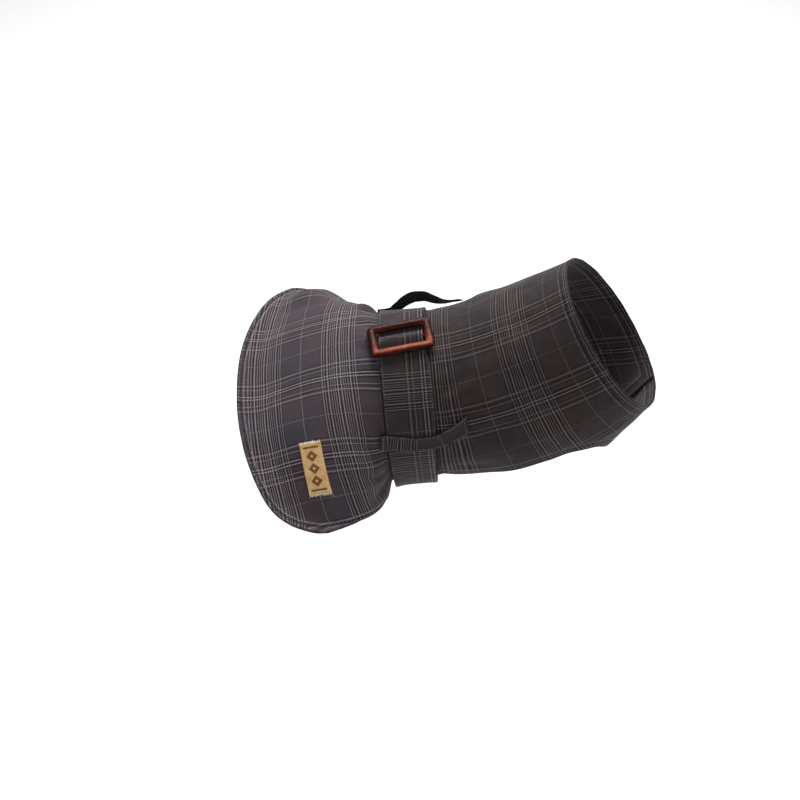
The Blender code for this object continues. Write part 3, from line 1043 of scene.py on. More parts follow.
@dataclass(frozen=True)
class TabFinish:
    """Tan woven tab with a plain row of brown diamonds."""

    name: str = "tab_weave"
    tan: Colour = (0.51, 0.300, 0.110)
    pale: Colour = (0.66, 0.440, 0.205)
    brown: Colour = (0.105, 0.046, 0.007)
    diamond: float = 3.6
    diamond_step: float = 4.2
    row_half: float = 12.7
    bar_at: float = 14.4
    bar_half: float = 5.4
    soft: float = 0.2

    def make(self) -> bpy.types.Material:
        """Build the material.

        Returns:
            The material.
        """
        material, desk, shader = new_material(self.name)
        place = desk.add("ShaderNodeUVMap", uv_map=CUT_UV).outputs[0]
        split = desk.add("ShaderNodeSeparateXYZ", {0: place})
        wide = desk.times(split.outputs[0], PER_METRE)
        long = desk.times(split.outputs[1], PER_METRE)
        rib = desk.size(desk.maths("SINE", desk.times(long, 7.5)))
        yarn = desk.size(desk.maths("SINE", desk.times(wide, 9.5)))
        weave = desk.times(rib, desk.ramp(yarn, 0.0, 1.0, 0.6, 1.0))
        cloudy = desk.ramp(desk.noise(place, 220.0, 4.0, 0.6), 0.3, 0.7)
        base = desk.mix(cloudy, rgba(self.tan), rgba(self.pale))
        base = desk.mix(desk.ramp(weave, 0.0, 0.8, 0.45, 0.0), base, rgba(self.brown))
        motif = self._motif(desk, wide, long)
        frayed = desk.ramp(desk.noise(place, 1400.0, 2.0), 0.3, 0.7, 0.85, 1.0)
        colour = desk.mix(desk.times(motif, frayed), base, rgba(self.brown))
        height = desk.plus(weave, desk.times(motif, 0.5))
        desk.feed(shader, {"Base Color": colour, "Roughness": 0.72, "Specular IOR Level": 0.15,
                           "Sheen Weight": 0.04, "Normal": desk.bump(height, 0.6, 0.00012)})
        return material

    def _motif(self, desk: NodeDesk, wide: Socket, long: Socket) -> Socket:
        """Draw three diamonds in a row between two bars.

        Args:
            desk: The material's desk.
            wide: Place across the tab.
            long: Place along it.

        Returns:
            Where the brown yarn shows.
        """
        step = desk.maths("PINGPONG", long, self.diamond_step)
        across = desk.maths("DIVIDE", desk.size(wide), self.diamond)
        round_way = desk.plus(across, desk.maths("DIVIDE", step, self.diamond))
        diamond = desk.ramp(round_way, 1.12, 1.04)
        hole = desk.ramp(round_way, 0.36, 0.26)
        diamond = desk.minus(diamond, hole, clamp=True)
        inside = desk.ramp(desk.size(long), self.row_half, self.row_half - self.soft)
        diamond = desk.times(diamond, inside)
        bar = desk.size(desk.minus(desk.size(long), self.bar_at))
        ends = desk.ramp(desk.size(wide), self.bar_half, self.bar_half - self.soft)
        bar = desk.times(desk.ramp(bar, 0.75, 0.60), ends)
        return desk.maths("MAXIMUM", diamond, bar)


@dataclass(frozen=True)
class ThreadFinish:
    """Spun thread with a faint twist."""

    name: str
    colour: Colour
    dull: float = 0.7

    def make(self) -> bpy.types.Material:
        """Build the material.

        Returns:
            The material.
        """
        material, desk, shader = new_material(self.name)
        place = desk.add("ShaderNodeTexCoord").outputs["Object"]
        tone = desk.ramp(desk.noise(place, 1800.0, 3.0), 0.3, 0.7, 0.7, 1.2, soft=False)
        desk.feed(shader, {"Base Color": desk.shade(rgba(self.colour), tone),
                           "Roughness": self.dull, "Sheen Weight": 0.2,
                           "Normal": desk.bump(tone, 0.4, 0.0001)})
        return material


@dataclass(frozen=True)
class FloorFinish:
    """Pale matt studio floor."""

    name: str = "pale_floor"
    colour: Colour = (0.86, 0.86, 0.87)

    def make(self) -> bpy.types.Material:
        """Build the material.

        Returns:
            The material.
        """
        material, desk, shader = new_material(self.name)
        place = desk.add("ShaderNodeTexCoord").outputs["Object"]
        tone = desk.ramp(desk.noise(place, 3.0, 2.0), 0.3, 0.7, 0.985, 1.0, soft=False)
        desk.feed(shader, {"Base Color": desk.shade(rgba(self.colour), tone), "Roughness": 0.9,
                           "Specular IOR Level": 0.1})
        return material


# --- cloth pieces


@dataclass(frozen=True)
class Hem:
    """A turned and stitched hem: its relief's heights, places from the edge and widths."""

    stitch: float = STITCH_LINE
    groove: float = 0.40
    groove_half: float = 0.7
    puff: float = 0.28
    puff_at: float = 1.1
    puff_half: float = 0.9
    swell: float = 0.18
    swell_at: float = 4.3
    swell_half: float = 1.1
    ripple: float = 0.22
    ripple_end: float = 9.0
    ripple_over: float = 7.0
    turned: float = 8.5
    turned_over: float = 0.8
    under: float = 0.55
    waves: tuple[Wave, ...] = table(Wave, (3.1, 0.0, 0.5), (5.3, 1.0, 0.35), (1.9, 0.0, 0.2))

    def outside(self, edge: Array, run: Array) -> Array:
        """Give the hem's relief on the outside.

        Args:
            edge: Distance from the cut edge.
            run: Any number that grows along the edge.

        Returns:
            Heights in millimetres.
        """
        relief = self.puff * bell(edge - self.puff_at, self.puff_half)
        relief = relief - self.groove * bell(edge - self.stitch, self.groove_half)
        relief = relief + self.swell * bell(edge - self.swell_at, self.swell_half)
        near = soft_step((self.ripple_end - edge) / self.ripple_over)
        return relief + self.ripple * rippled(self.waves, run) * near

    def inside(self, edge: Array) -> Array:
        """Give how much thicker the cloth is where its edge is turned under."""
        return self.under * soft_step((self.turned - edge) / self.turned_over)


@dataclass
class ClothPanel:
    """A panel of cloth laid on the worn form, with creases, a hem and stitches."""

    form: WornForm
    finish: PlaidFinish
    name: str
    node: str
    slot: str
    folds: tuple[Crease, ...] = ()
    creases: tuple[Crease, ...] = ()
    hem: Hem = field(default_factory=Hem)
    slide: float = SLIDE
    inside: float = 20.0

    def flat_places(self) -> tuple[Array, Array, Array]:
        """Give the grid's stations and widths, and which of its cells are cloth."""
        raise NotImplementedError

    def hem_lines(self) -> list[Array]:
        """Give the hemmed edges as flat lines of station and width."""
        raise NotImplementedError

    def base(self, station: Array, reach: Array) -> Array:
        """Give the inside of the cloth before its small relief."""
        raise NotImplementedError

    def edge_distance(self, station: Array, width: Array) -> Array:
        """Measure how far flat places lie from the hemmed edges.

        Args:
            station: Stations in millimetres.
            width: Widths from the centre back.

        Returns:
            Distances in millimetres.
        """
        points = np.column_stack([station.ravel(), width.ravel()])
        best = np.full(len(points), 1e9)
        for line in self.hem_lines():
            best = np.minimum(best, distance_to(points, line))
        return best.reshape(station.shape)

    def outside(self, station: Array, width: Array, lift: float = 0.0) -> Array:
        """Give the outer face of the cloth.

        Args:
            station: Stations in millimetres.
            width: Widths from the centre back.
            lift: Height above the outer face.

        Returns:
            Points in millimetres.
        """
        station = np.asarray(station, float)
        width = np.asarray(width, float)
        edge = self.edge_distance(station, width)
        reach = width + self.slide
        relief = crease_height(self.creases, station, reach)
        relief = relief + self.hem.outside(edge, station * 0.9 + width * 1.1)
        direction = outward(self.base, station, reach)
        return self.base(station, reach) + direction * (CLOTH + relief + lift)[..., None]

    def build(self) -> Piece:
        """Cut the panel, lay it on the form and give it its thickness.

        Returns:
            The panel.
        """
        station, width, kept = self.flat_places()
        rows, columns = station.shape
        piece, column, row = flat_grid(self.name, columns, rows)
        flat_s, flat_w = station[row, column], width[row, column]
        edge = self.edge_distance(flat_s, flat_w)
        set_points(piece, self.outside(flat_s, flat_w))
        set_cut_uv(piece, np.column_stack([flat_s, flat_w + self.slide]))
        set_edge(piece, edge)
        self._drop_cells(piece, column, row, kept)
        self._face_outward(piece, station, width)
        self._thicken(piece)
        soften(piece)
        return piece

    def _drop_cells(self, piece: Piece, column: Array, row: Array, kept: Array) -> None:
        """Delete the cells that the cut leaves out.

        Args:
            piece: The panel.
            column: The column of each point.
            row: The row of each point.
            kept: Which cells are cloth.
        """
        if kept.all():
            return
        unwanted = np.zeros(len(piece.data.polygons), bool)
        for face in piece.data.polygons:
            corners = list(face.vertices)
            unwanted[face.index] = not kept[row[corners].min(), column[corners].min()]
        delete_faces(piece, unwanted)

    def _face_outward(self, piece: Piece, station: Array, width: Array) -> None:
        """Turn the faces to the outside if the cut's order has them inward.

        Args:
            piece: The panel.
            station: The grid's stations.
            width: The grid's widths.
        """
        here = np.array(piece.data.polygons[len(piece.data.polygons) // 2].center) * PER_METRE
        inner = self.form.place(station, width + self.slide, -self.inside).reshape(-1, 3)
        nearest = inner[np.argmin(np.linalg.norm(inner - here, axis=1))]
        turn_outward(piece, here - nearest)

    def _thicken(self, piece: Piece) -> None:
        """Give the cloth its wall, thicker where the hem is turned under.

        Args:
            piece: The panel, still a single face of cloth.
        """
        edge = np.empty(len(piece.data.vertices), np.float32)
        piece.data.attributes[EDGE].data.foreach_get("value", edge)
        most = CLOTH + self.hem.under
        share = (CLOTH + self.hem.inside(edge)) / most
        group = piece.vertex_groups.new(name="wall")
        for k, value in enumerate(share):
            group.add([k], float(value), "REPLACE")
        apply_modifier(piece, "SOLIDIFY", thickness=most * MM, offset=-1.0,
                       vertex_group="wall", use_even_offset=False, use_rim=True)
        piece.vertex_groups.clear()

    def flat_area(self) -> float:
        """Measure the cut.

        Returns:
            Its area in square metres.
        """
        station, width, kept = self.flat_places()
        points = np.stack([station, width], -1)
        one = points[1:, 1:] - points[:-1, :-1]
        two = points[1:, :-1] - points[:-1, 1:]
        area = np.abs(one[..., 0] * two[..., 1] - one[..., 1] * two[..., 0]) / 2
        return float((area * kept).sum()) * 1e-6

    def stitch_frames(self) -> list[Array]:
        """Give a place for each stitch along the hems.

        Returns:
            A matrix for each stitch.
        """
        frames = []
        for line in self.hem_lines():
            places, ahead = along_line(self._inset(line, self.hem.stitch), STITCH_PITCH)
            if len(places) > 1:
                frames += surface_frames(self.outside, places, ahead, STITCH_LIFT)
        return frames

    def _inset(self, line: Array, distance: float) -> Array:
        """Move a hem line into the cloth.

        Args:
            line: The hem line.
            distance: How far to move it.

        Returns:
            The moved line.
        """
        run = unit(np.gradient(line, axis=0))
        aside = np.column_stack([-run[:, 1], run[:, 0]])
        station, width, kept = self.flat_places()
        cells = (station[1:, 1:] + station[:-1, :-1]) / 2, (width[1:, 1:] + width[:-1, :-1]) / 2
        cloth = np.column_stack([cells[0][kept], cells[1][kept]])
        moved = line + aside * distance
        other = line - aside * distance
        middle = len(line) // 2
        gap = [np.linalg.norm(cloth - side[middle], axis=1).min() for side in (moved, other)]
        return moved if gap[0] < gap[1] else other


def surface_frames(surface: Callable[..., Array], places: Array, ahead: Array, lift: float
                   ) -> list[Array]:
    """Give frames that lie on a surface, with x along a direction and z outward.

    Args:
        surface: Gives points for stations, widths and a lift.
        places: Flat places, one per row.
        ahead: Flat directions, one per row.
        lift: Height above the surface.

    Returns:
        A 3 by 4 matrix for each place.
    """
    at = surface(places[:, 0], places[:, 1], lift)
    up = unit(surface(places[:, 0], places[:, 1], lift + 1.0) - at)
    step = ahead * 0.6
    front = surface(places[:, 0] + step[:, 0], places[:, 1] + step[:, 1], lift)
    back = surface(places[:, 0] - step[:, 0], places[:, 1] - step[:, 1], lift)
    along = unit(front - back)
    side = unit(np.cross(up, along))
    up = np.cross(along, side)
    return [np.column_stack([a, s, u, p]) for a, s, u, p in zip(along, side, up, at)]


SKIRT_FOLDS = table(
    Crease,
    (-18.5, 95, -42, 84, 5.0, -1.8), (-18.5, 105, -50, 98, 5.5, 1.9),
    (-18.5, 115, -42, 112, 5.0, -2.0), (-18.5, -84, -42, -76, 6.0, -1.8),
    (-18.5, -70, -46, -60, 6.0, 1.7), (-20, -50, -44, -46, 9.0, 3.5),
    (-104, -84, -50, -80, 14.0, 3.5), (-42, -80, -78, -91, 10.0, -2.4),
    (-19, 134, -32, 134, 8.0, 4.0),
)
SKIRT_CREASES = table(
    Crease,
    (-17, 90, -54, 72, 3.4, -1.1, 2.0), (-17, 97, -62, 86, 4.2, 1.2, -2.0),
    (-18, 106, -48, 103, 2.6, -1.4, 1.0), (-18, 112, -58, 112, 3.6, 1.0, 1.5),
    (-19, 120, -46, 123, 3.0, -1.5, 1.5), (-20, 127, -60, 133, 5.0, 1.0, 1.0),
    (-17, 80, -38, 70, 2.8, 0.6, 1.0), (-17, 62, -36, 58, 3.0, -0.7, -1.0),
    (-17, 49, -32, 50, 2.6, 0.5), (-17, 36, -34, 33, 2.8, -0.6, 1.0),
    (-17, 24, -33, 21, 3.0, 0.5, 1.0), (-18, 11, -38, 2, 2.6, -1.1, -2.0),
    (-18, 1, -42, -10, 3.8, 1.1, -1.0), (-18, -12, -38, -22, 2.8, -1.2, -1.0),
    (-18, -23, -44, -33, 4.0, 1.0, -1.5), (-18, -36, -36, -43, 2.6, -1.4, -1.0),
    (-18, -44, -40, -54, 2.8, 1.3, -2.0), (-19, -53, -40, -64, 2.6, -1.4, -2.0),
    (-74, -88, -96, -74, 6.0, 1.3, -3.0), (-70, -99, -88, -101, 5.0, -1.1, 2.0),
    (-18, -60, -46, -58, 3.4, -1.0, 1.0), (-18, -96, -46, -92, 4.0, 1.0, -1.0),
    (-18, -102, -34, -104, 2.8, -0.9), (-96, 58, -62, 62, 9.0, 0.9, 3.0),
    (-116, 24, -66, 28, 10.0, -0.9, -3.0), (-108, 92, -66, 92, 8.0, -0.9, 2.0),
    (-112, -28, -62, -22, 10.0, 0.8, 2.0), (-100, -62, -58, -56, 8.0, -1.0, -2.0),
    (-121, 60, -96, 55, 8.0, 1.2, 1.0), (-120, 44, -102, 42, 5.0, -0.9, 1.0),
    (-121, -8, -98, -4, 9.0, 1.1, 1.0), (-114, 82, -98, 80, 5.0, -0.8),
    (-98, 120, -72, 112, 6.0, 0.8, 1.0),
)


@dataclass
class Skirt(ClothPanel):
    """Rounded rectangle of cloth that falls from the waist seam."""

    slide: float = 13.5
    length: float = 121.5
    half_width: float = 120.0
    sweep_left: float = 12.5
    sweep_right: float = 10.5
    sweep_at: float = 98.0
    corner: float = 29.0
    flip_rise: float = 9.0
    flip_reach: float = 20.0
    flat_from: float = 110.0
    flat_over: float = 16.0
    flat_share: float = 0.9
    seam: float = -19.0
    seam_half: float = 2.8
    pull: float = 1.1
    near_pull: float = 1.5
    pull_from: float = 84.0
    pull_over: float = 22.0
    open_end: float = -16.0

    def hem_station(self, width: Array) -> Array:
        """Give the hem's station at a distance from the centre back."""
        over = np.clip(np.abs(width) - (self.half_width - self.corner), 0, self.corner)
        corner = self.corner - np.sqrt(self.corner**2 - over**2)
        share = np.abs(width) / self.sweep_at
        sweep = np.where(width > 0, self.sweep_right * share**3, self.sweep_left * share**2)
        return -self.length + sweep + corner

    def base(self, station: Array, reach: Array) -> Array:
        """Give the inside of the skirt, with its folds and its turned-out hem."""
        width = np.clip(reach - self.slide, -self.half_width, self.half_width)
        near_hem = np.clip(1 - (station - self.hem_station(width)) / self.flip_reach, 0, 1.05)
        flat = 1 - self.flat_share * soft_step((-width - self.flat_from) / self.flat_over)
        pull = self.pull + self.near_pull * soft_step((reach - self.pull_from) / self.pull_over)
        lift = self.flip_rise * near_hem**2 * flat
        lift = lift - pull * bell(station - self.seam, self.seam_half)
        return self.form.place(station, reach, lift + crease_height(self.folds, station, reach))

    def flat_places(self) -> tuple[Array, Array, Array]:
        """Give the grid's stations and widths, and which of its cells are cloth."""
        straight = self.half_width - self.corner
        middle = np.linspace(-straight, straight, 77)
        turn = straight + self.corner * np.sin(np.linspace(0, pi / 2, 19)[1:])
        width = np.concatenate([-turn[::-1], middle, turn])
        near = np.array([0, 0.7, 1.5, 2.3, 3.1, 3.9, 4.8, 6.0, 7.6, 9.6, 12.0])
        hem = self.hem_station(width)
        low = hem[None, :] + near[:, None]
        top = -GAP / 2
        share = np.linspace(0, 1, 42)[1:, None]
        high = low[-1:] + (top - low[-1:]) * share
        station = np.vstack([low, high])
        width = np.broadcast_to(width, station.shape)
        return station, width, np.ones((station.shape[0] - 1, station.shape[1] - 1), bool)

    def hem_lines(self) -> list[Array]:
        """Give the hemmed edges as flat lines of station and width."""
        straight = self.half_width - self.corner
        turn = straight + self.corner * np.sin(np.linspace(0, pi / 2, 24)[1:])
        width = np.concatenate([-turn[::-1], np.linspace(-straight, straight, 80), turn])
        line = np.column_stack([self.hem_station(width), width])
        start = [self.open_end, -self.half_width]
        return [np.vstack([start, line, [self.open_end, self.half_width]])]


BODICE_FOLDS = table(
    Crease,
    (38, 56, 74, 66, 7.0, 1.8), (36, 78, 70, 88, 6.0, -1.6),
    (42, -54, 74, -64, 7.0, 1.6), (40, -28, 70, -36, 6.0, -1.5),
)
BODICE_CREASES = table(
    Crease,
    (17, 62, 50, 52, 2.8, -1.4, 1.5), (17, 55, 54, 42, 3.4, 1.2, -1.5),
    (19, 47, 44, 33, 2.6, -0.9, 1.0), (22, 86, 58, 74, 4.0, -1.0, 2.0),
    (20, 96, 62, 100, 4.5, 0.9, 2.0), (19, 106, 46, 112, 3.2, -0.8),
    (18, 30, 42, 26, 3.2, -0.6), (18, 8, 40, 6, 3.0, -0.6),
    (60, 44, 92, 52, 6.0, -1.0, 2.0), (62, 96, 96, 92, 6.0, 0.9, -2.0),
    (70, 10, 104, 14, 7.0, -1.0, 2.0), (66, -20, 98, -26, 7.0, 1.0, -2.0),
    (20, -44, 50, -48, 3.5, -0.9, -1.0), (20, -84, 56, -92, 4.0, 0.9, 2.0),
    (64, -74, 98, -70, 6.0, -1.0, 2.0), (94, 140, 118, 166, 5.0, -0.9),
    (94, 118, 120, 132, 6.0, 0.8, 1.0), (94, -118, 118, -140, 5.0, 0.9),
)


@dataclass
class Bodice(ClothPanel):
    """Back panel whose two front ends reach round the chest and lap."""

    half_width: float = 110.0
    band_low: float = 91.0
    band_corner: float = 16.0
    neck: float = 122.0
    pull: float = 1.1
    seam: float = 18.0
    seam_half: float = 2.6
    open_end: float = 17.0

    def base(self, station: Array, reach: Array) -> Array:
        """Give the inside of the bodice."""
        pull = self.pull * bell(station - self.seam, self.seam_half)
        lift = crease_height(self.folds, station, reach) - pull
        return self.form.place(station, reach, lift + lap_lift(reach, self.form.radius(station)))

    def full_width(self, station: Array) -> Array:
        """Give the width at which the front ends stop."""
        return pi * self.form.radius(station) + LAP / 2

    def round_corners(self, station: Array, width: Array) -> tuple[Array, Array]:
        """Bend the grid so that the side edges run into the chest band in a round corner.

        Args:
            station: The grid's stations.
            width: The grid's widths.

        Returns:
            The new stations and widths.
        """
        corner, low, half = self.band_corner, self.band_low, self.half_width
        below = np.clip(low - station, 0, corner)
        beyond = np.clip(np.abs(width) - half, 0, corner)
        angle = pi / 4 * (1 - below / corner + beyond / corner)
        new_station = low - corner * (1 - np.sin(angle))
        new_width = half + corner * (1 - np.cos(angle))
        depth = np.hypot(station - (low - below), np.abs(width) - (half + beyond))
        share = 1 - soft_step(depth / (2.2 * corner))
        moved = station + (new_station - (low - below)) * share
        return moved, width + np.sign(width) * (new_width - (half + beyond)) * share

    def flat_places(self) -> tuple[Array, Array, Array]:
        """Give the grid's stations and widths, and which of its cells are cloth."""
        low, corner, half = self.band_low, self.band_corner, self.half_width
        below = np.linspace(GAP / 2, low - corner, 31)[:-1]
        turn = np.linspace(low - corner, low, 13)[:-1]
        close = np.array([0, 0.8, 1.6, 2.4, 3.2, 4.1, 5.2, 7.0])
        band = np.linspace(low + 7.0, self.neck - 7.0, 9)[1:-1]
        rows = np.concatenate([below, turn, low + close, band, self.neck - close[::-1]])
        inner = np.linspace(-(half - 7.0), half - 7.0, 85)[1:-1]
        middle = np.concatenate([-(half - close), inner, half - close[::-1]])
        near = half + np.linspace(0, corner, 13)[1:]
        share = np.linspace(0, 1, 31)[1:]
        full = self.full_width(rows)
        far = near[-1] + (full[:, None] - near[-1]) * share
        side = np.hstack([np.tile(near, (len(rows), 1)), far])
        width = np.hstack([-side[:, ::-1], np.tile(middle, (len(rows), 1)), side])
        kept = np.ones((len(rows) - 1, width.shape[1] - 1), bool)
        open_rows = len(below) + len(turn)
        kept[:open_rows, :side.shape[1]] = False
        kept[:open_rows, -side.shape[1]:] = False
        station, width = self.round_corners(np.broadcast_to(rows[:, None], width.shape), width)
        return station, width, kept

    def hem_lines(self) -> list[Array]:
        """Give the hemmed edges as flat lines of station and width."""
        low, corner, half = self.band_low, self.band_corner, self.half_width
        angle = np.linspace(0, pi / 2, 17)
        arc = np.column_stack([low - corner + corner * np.sin(angle),
                               half + corner * (1 - np.cos(angle))])
        side = np.column_stack([np.linspace(self.open_end, low - corner, 30)[:-1],
                                np.full(29, half)])
        end = self.full_width(np.array(low)).item()
        band = np.column_stack([np.full(30, low), np.linspace(half + corner, end, 31)[1:]])
        right = np.vstack([side, arc, band])
        rows = np.linspace(low, self.neck, 9)
        right_end = np.column_stack([rows, self.full_width(rows)])
        top = self.full_width(np.array(self.neck)).item()
        across = np.linspace(-top, top, 140)
        neck = np.column_stack([np.full(len(across), self.neck), across])
        flip = np.array([1.0, -1.0])
        return [right, right * flip, right_end, right_end * flip, neck]


BELT_EDGES = table(
    BeltEdge,
    (-240, -15, 13), (-120, -16.5, 14),
    (-48, -18, 15.5), (-8, -18, 13.5),
    (12, -18, 13.5), (30, -17.5, 17),
    (63, -17, 17), (80, -17, 15.5),
    (117, -16.5, 13.5), (240, -15, 13),
)
BELT_CREASES = table(
    Crease,
    (-15, 96, -6, 104, 1.5, 0.45), (-15, 101, -4, 110, 1.4, -0.45),
    (-15, 106, -7, 115, 1.5, 0.5), (-15, 113, -8, 121, 1.5, -0.4),
    (14, 118, 4, 126, 2.0, 0.35), (-16, 20, 15, 23, 4.0, -0.25),
    (-16, 57, 15, 60, 5.0, 0.25), (-16, 86, 14, 84, 3.0, -0.35),
    (-16, -30, 14, -27, 4.0, 0.3), (-15, -78, 13, -74, 4.0, -0.35),
    (-15, -110, 13, -114, 5.0, 0.35), (-15, 150, 13, 146, 5.0, 0.35),
)


@dataclass
class Buckle:
    """Slide buckle: a rounded frame, and the middle bar that the belt hides."""

    form: WornForm
    finish: BuckleFinish
    length: float = 45.4
    width: float = 28.0
    bar: float = 6.2
    depth: float = 4.0
    corner: float = 5.2
    station: float = -2.3
    reach: float = 4.3
    tilt: float = -7.8
    lift: float = 3.1
    middle_bar: float = 2.6
    middle_depth: float = 2.0
    corner_steps: int = 9
    section_steps: int = 20

    def axes(self) -> Array:
        """Give the buckle's own frame: along, aside and outward, and its middle.

        Returns:
            A 3 by 4 matrix.
        """
        station, reach = np.array(self.station), np.array(self.reach)
        middle = self.form.place(station, reach)
        square = outward(self.form.place, station, reach)
        along = unit(self.form.place(station + 1, reach) - self.form.place(station - 1, reach))
        aside = np.cross(square, along)
        turn = -radians(self.tilt)
        ahead = along * cos(turn) + aside * sin(turn)
        side = aside * cos(turn) - along * sin(turn)
        return np.column_stack([ahead, side, square, middle])

    def build(self) -> Piece:
        """Model the frame and the middle bar, join them and put them in place.

        Returns:
            The buckle.
        """
        frame_piece = self._model_frame()
        bar_piece = self._model_bar()
        only(frame_piece)
        bar_piece.select_set(True)
        bpy.ops.object.join()
        piece = bpy.context.object
        own = own_points(piece)
        set_cut_uv(piece, own[:, :2])
        matrix = self.axes()
        set_points(piece, own @ matrix[:, :3].T + matrix[:, 3])
        smooth(piece, 60.0)
        return piece

    def _ring(self, inset: float, soft: float) -> Array:
        """Give a rounded rectangle inside the frame's outline.

        Args:
            inset: How far inside it lies.
            soft: Its smallest corner radius.

        Returns:
            Flat points, one per row.
        """
        corner = max(self.corner - inset, soft)
        long, wide = self.length / 2 - inset - corner, self.width / 2 - inset - corner
        points = []
        for turn, (east, north) in enumerate(((1, 1), (-1, 1), (-1, -1), (1, -1))):
            for angle in np.linspace(turn * pi / 2, (turn + 1) * pi / 2, self.corner_steps):
                points.append((east * long + corner * cos(angle),
                               north * wide + corner * sin(angle)))
        return np.array(points)

    def _model_frame(self) -> Piece:
        """Model the frame lying flat, in millimetres, from a torus.

        Returns:
            The frame.
        """
        section = self.section_steps
        nothing_selected()
        bpy.ops.mesh.primitive_torus_add(
            major_segments=4 * self.corner_steps, minor_segments=section,
            major_radius=self.width / 2, minor_radius=self.bar / 2)
        piece = bpy.context.object
        piece.name = "slide_buckle"
        points = []
        for angle in np.arange(section) * 2 * pi / section:
            side, rise = cos(angle), sin(angle)
            across = np.sign(side) * abs(side) ** (0.85 if rise > 0 else 0.5)
            high = 0.42 + 0.58 * abs(rise) ** 0.85 if rise > 0 else 0.42 - 0.42 * abs(rise) ** 0.6
            ring = self._ring(self.bar / 2 * (1 - across), 0.9)
            points.append(np.column_stack([ring, np.full(len(ring), high * self.depth)]))
        own = np.stack(points, axis=1).reshape(-1, 3) + (0, 0, self.lift)
        piece.data.vertices.foreach_set("co", own.ravel())
        with all_edited():
            bpy.ops.mesh.normals_make_consistent(inside=False)
        apply_modifier(piece, "SUBSURF", levels=1, render_levels=1)
        return piece

    def _model_bar(self) -> Piece:
        """Model the middle bar, in millimetres.

        Returns:
            The bar.
        """
        nothing_selected()
        bpy.ops.mesh.primitive_cylinder_add(vertices=16, radius=1, depth=1,
                                            rotation=(0, pi / 2, 0))
        piece = bpy.context.object
        reach = self.length - self.bar * 1.1
        bpy.ops.object.transform_apply(location=True, rotation=True, scale=True)
        with all_edited():
            bpy.ops.transform.resize(value=(reach, self.middle_bar / 2, self.middle_depth / 2))
            bpy.ops.transform.translate(value=(0, 0, CLOTH + GAP + self.middle_depth / 2))
        return piece

    def dress(self, piece: Piece) -> None:
        """Give the buckle its finish and its place in the frame."""
        put_on(piece, self.finish)
        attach(piece, "root")
        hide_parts("buckle")


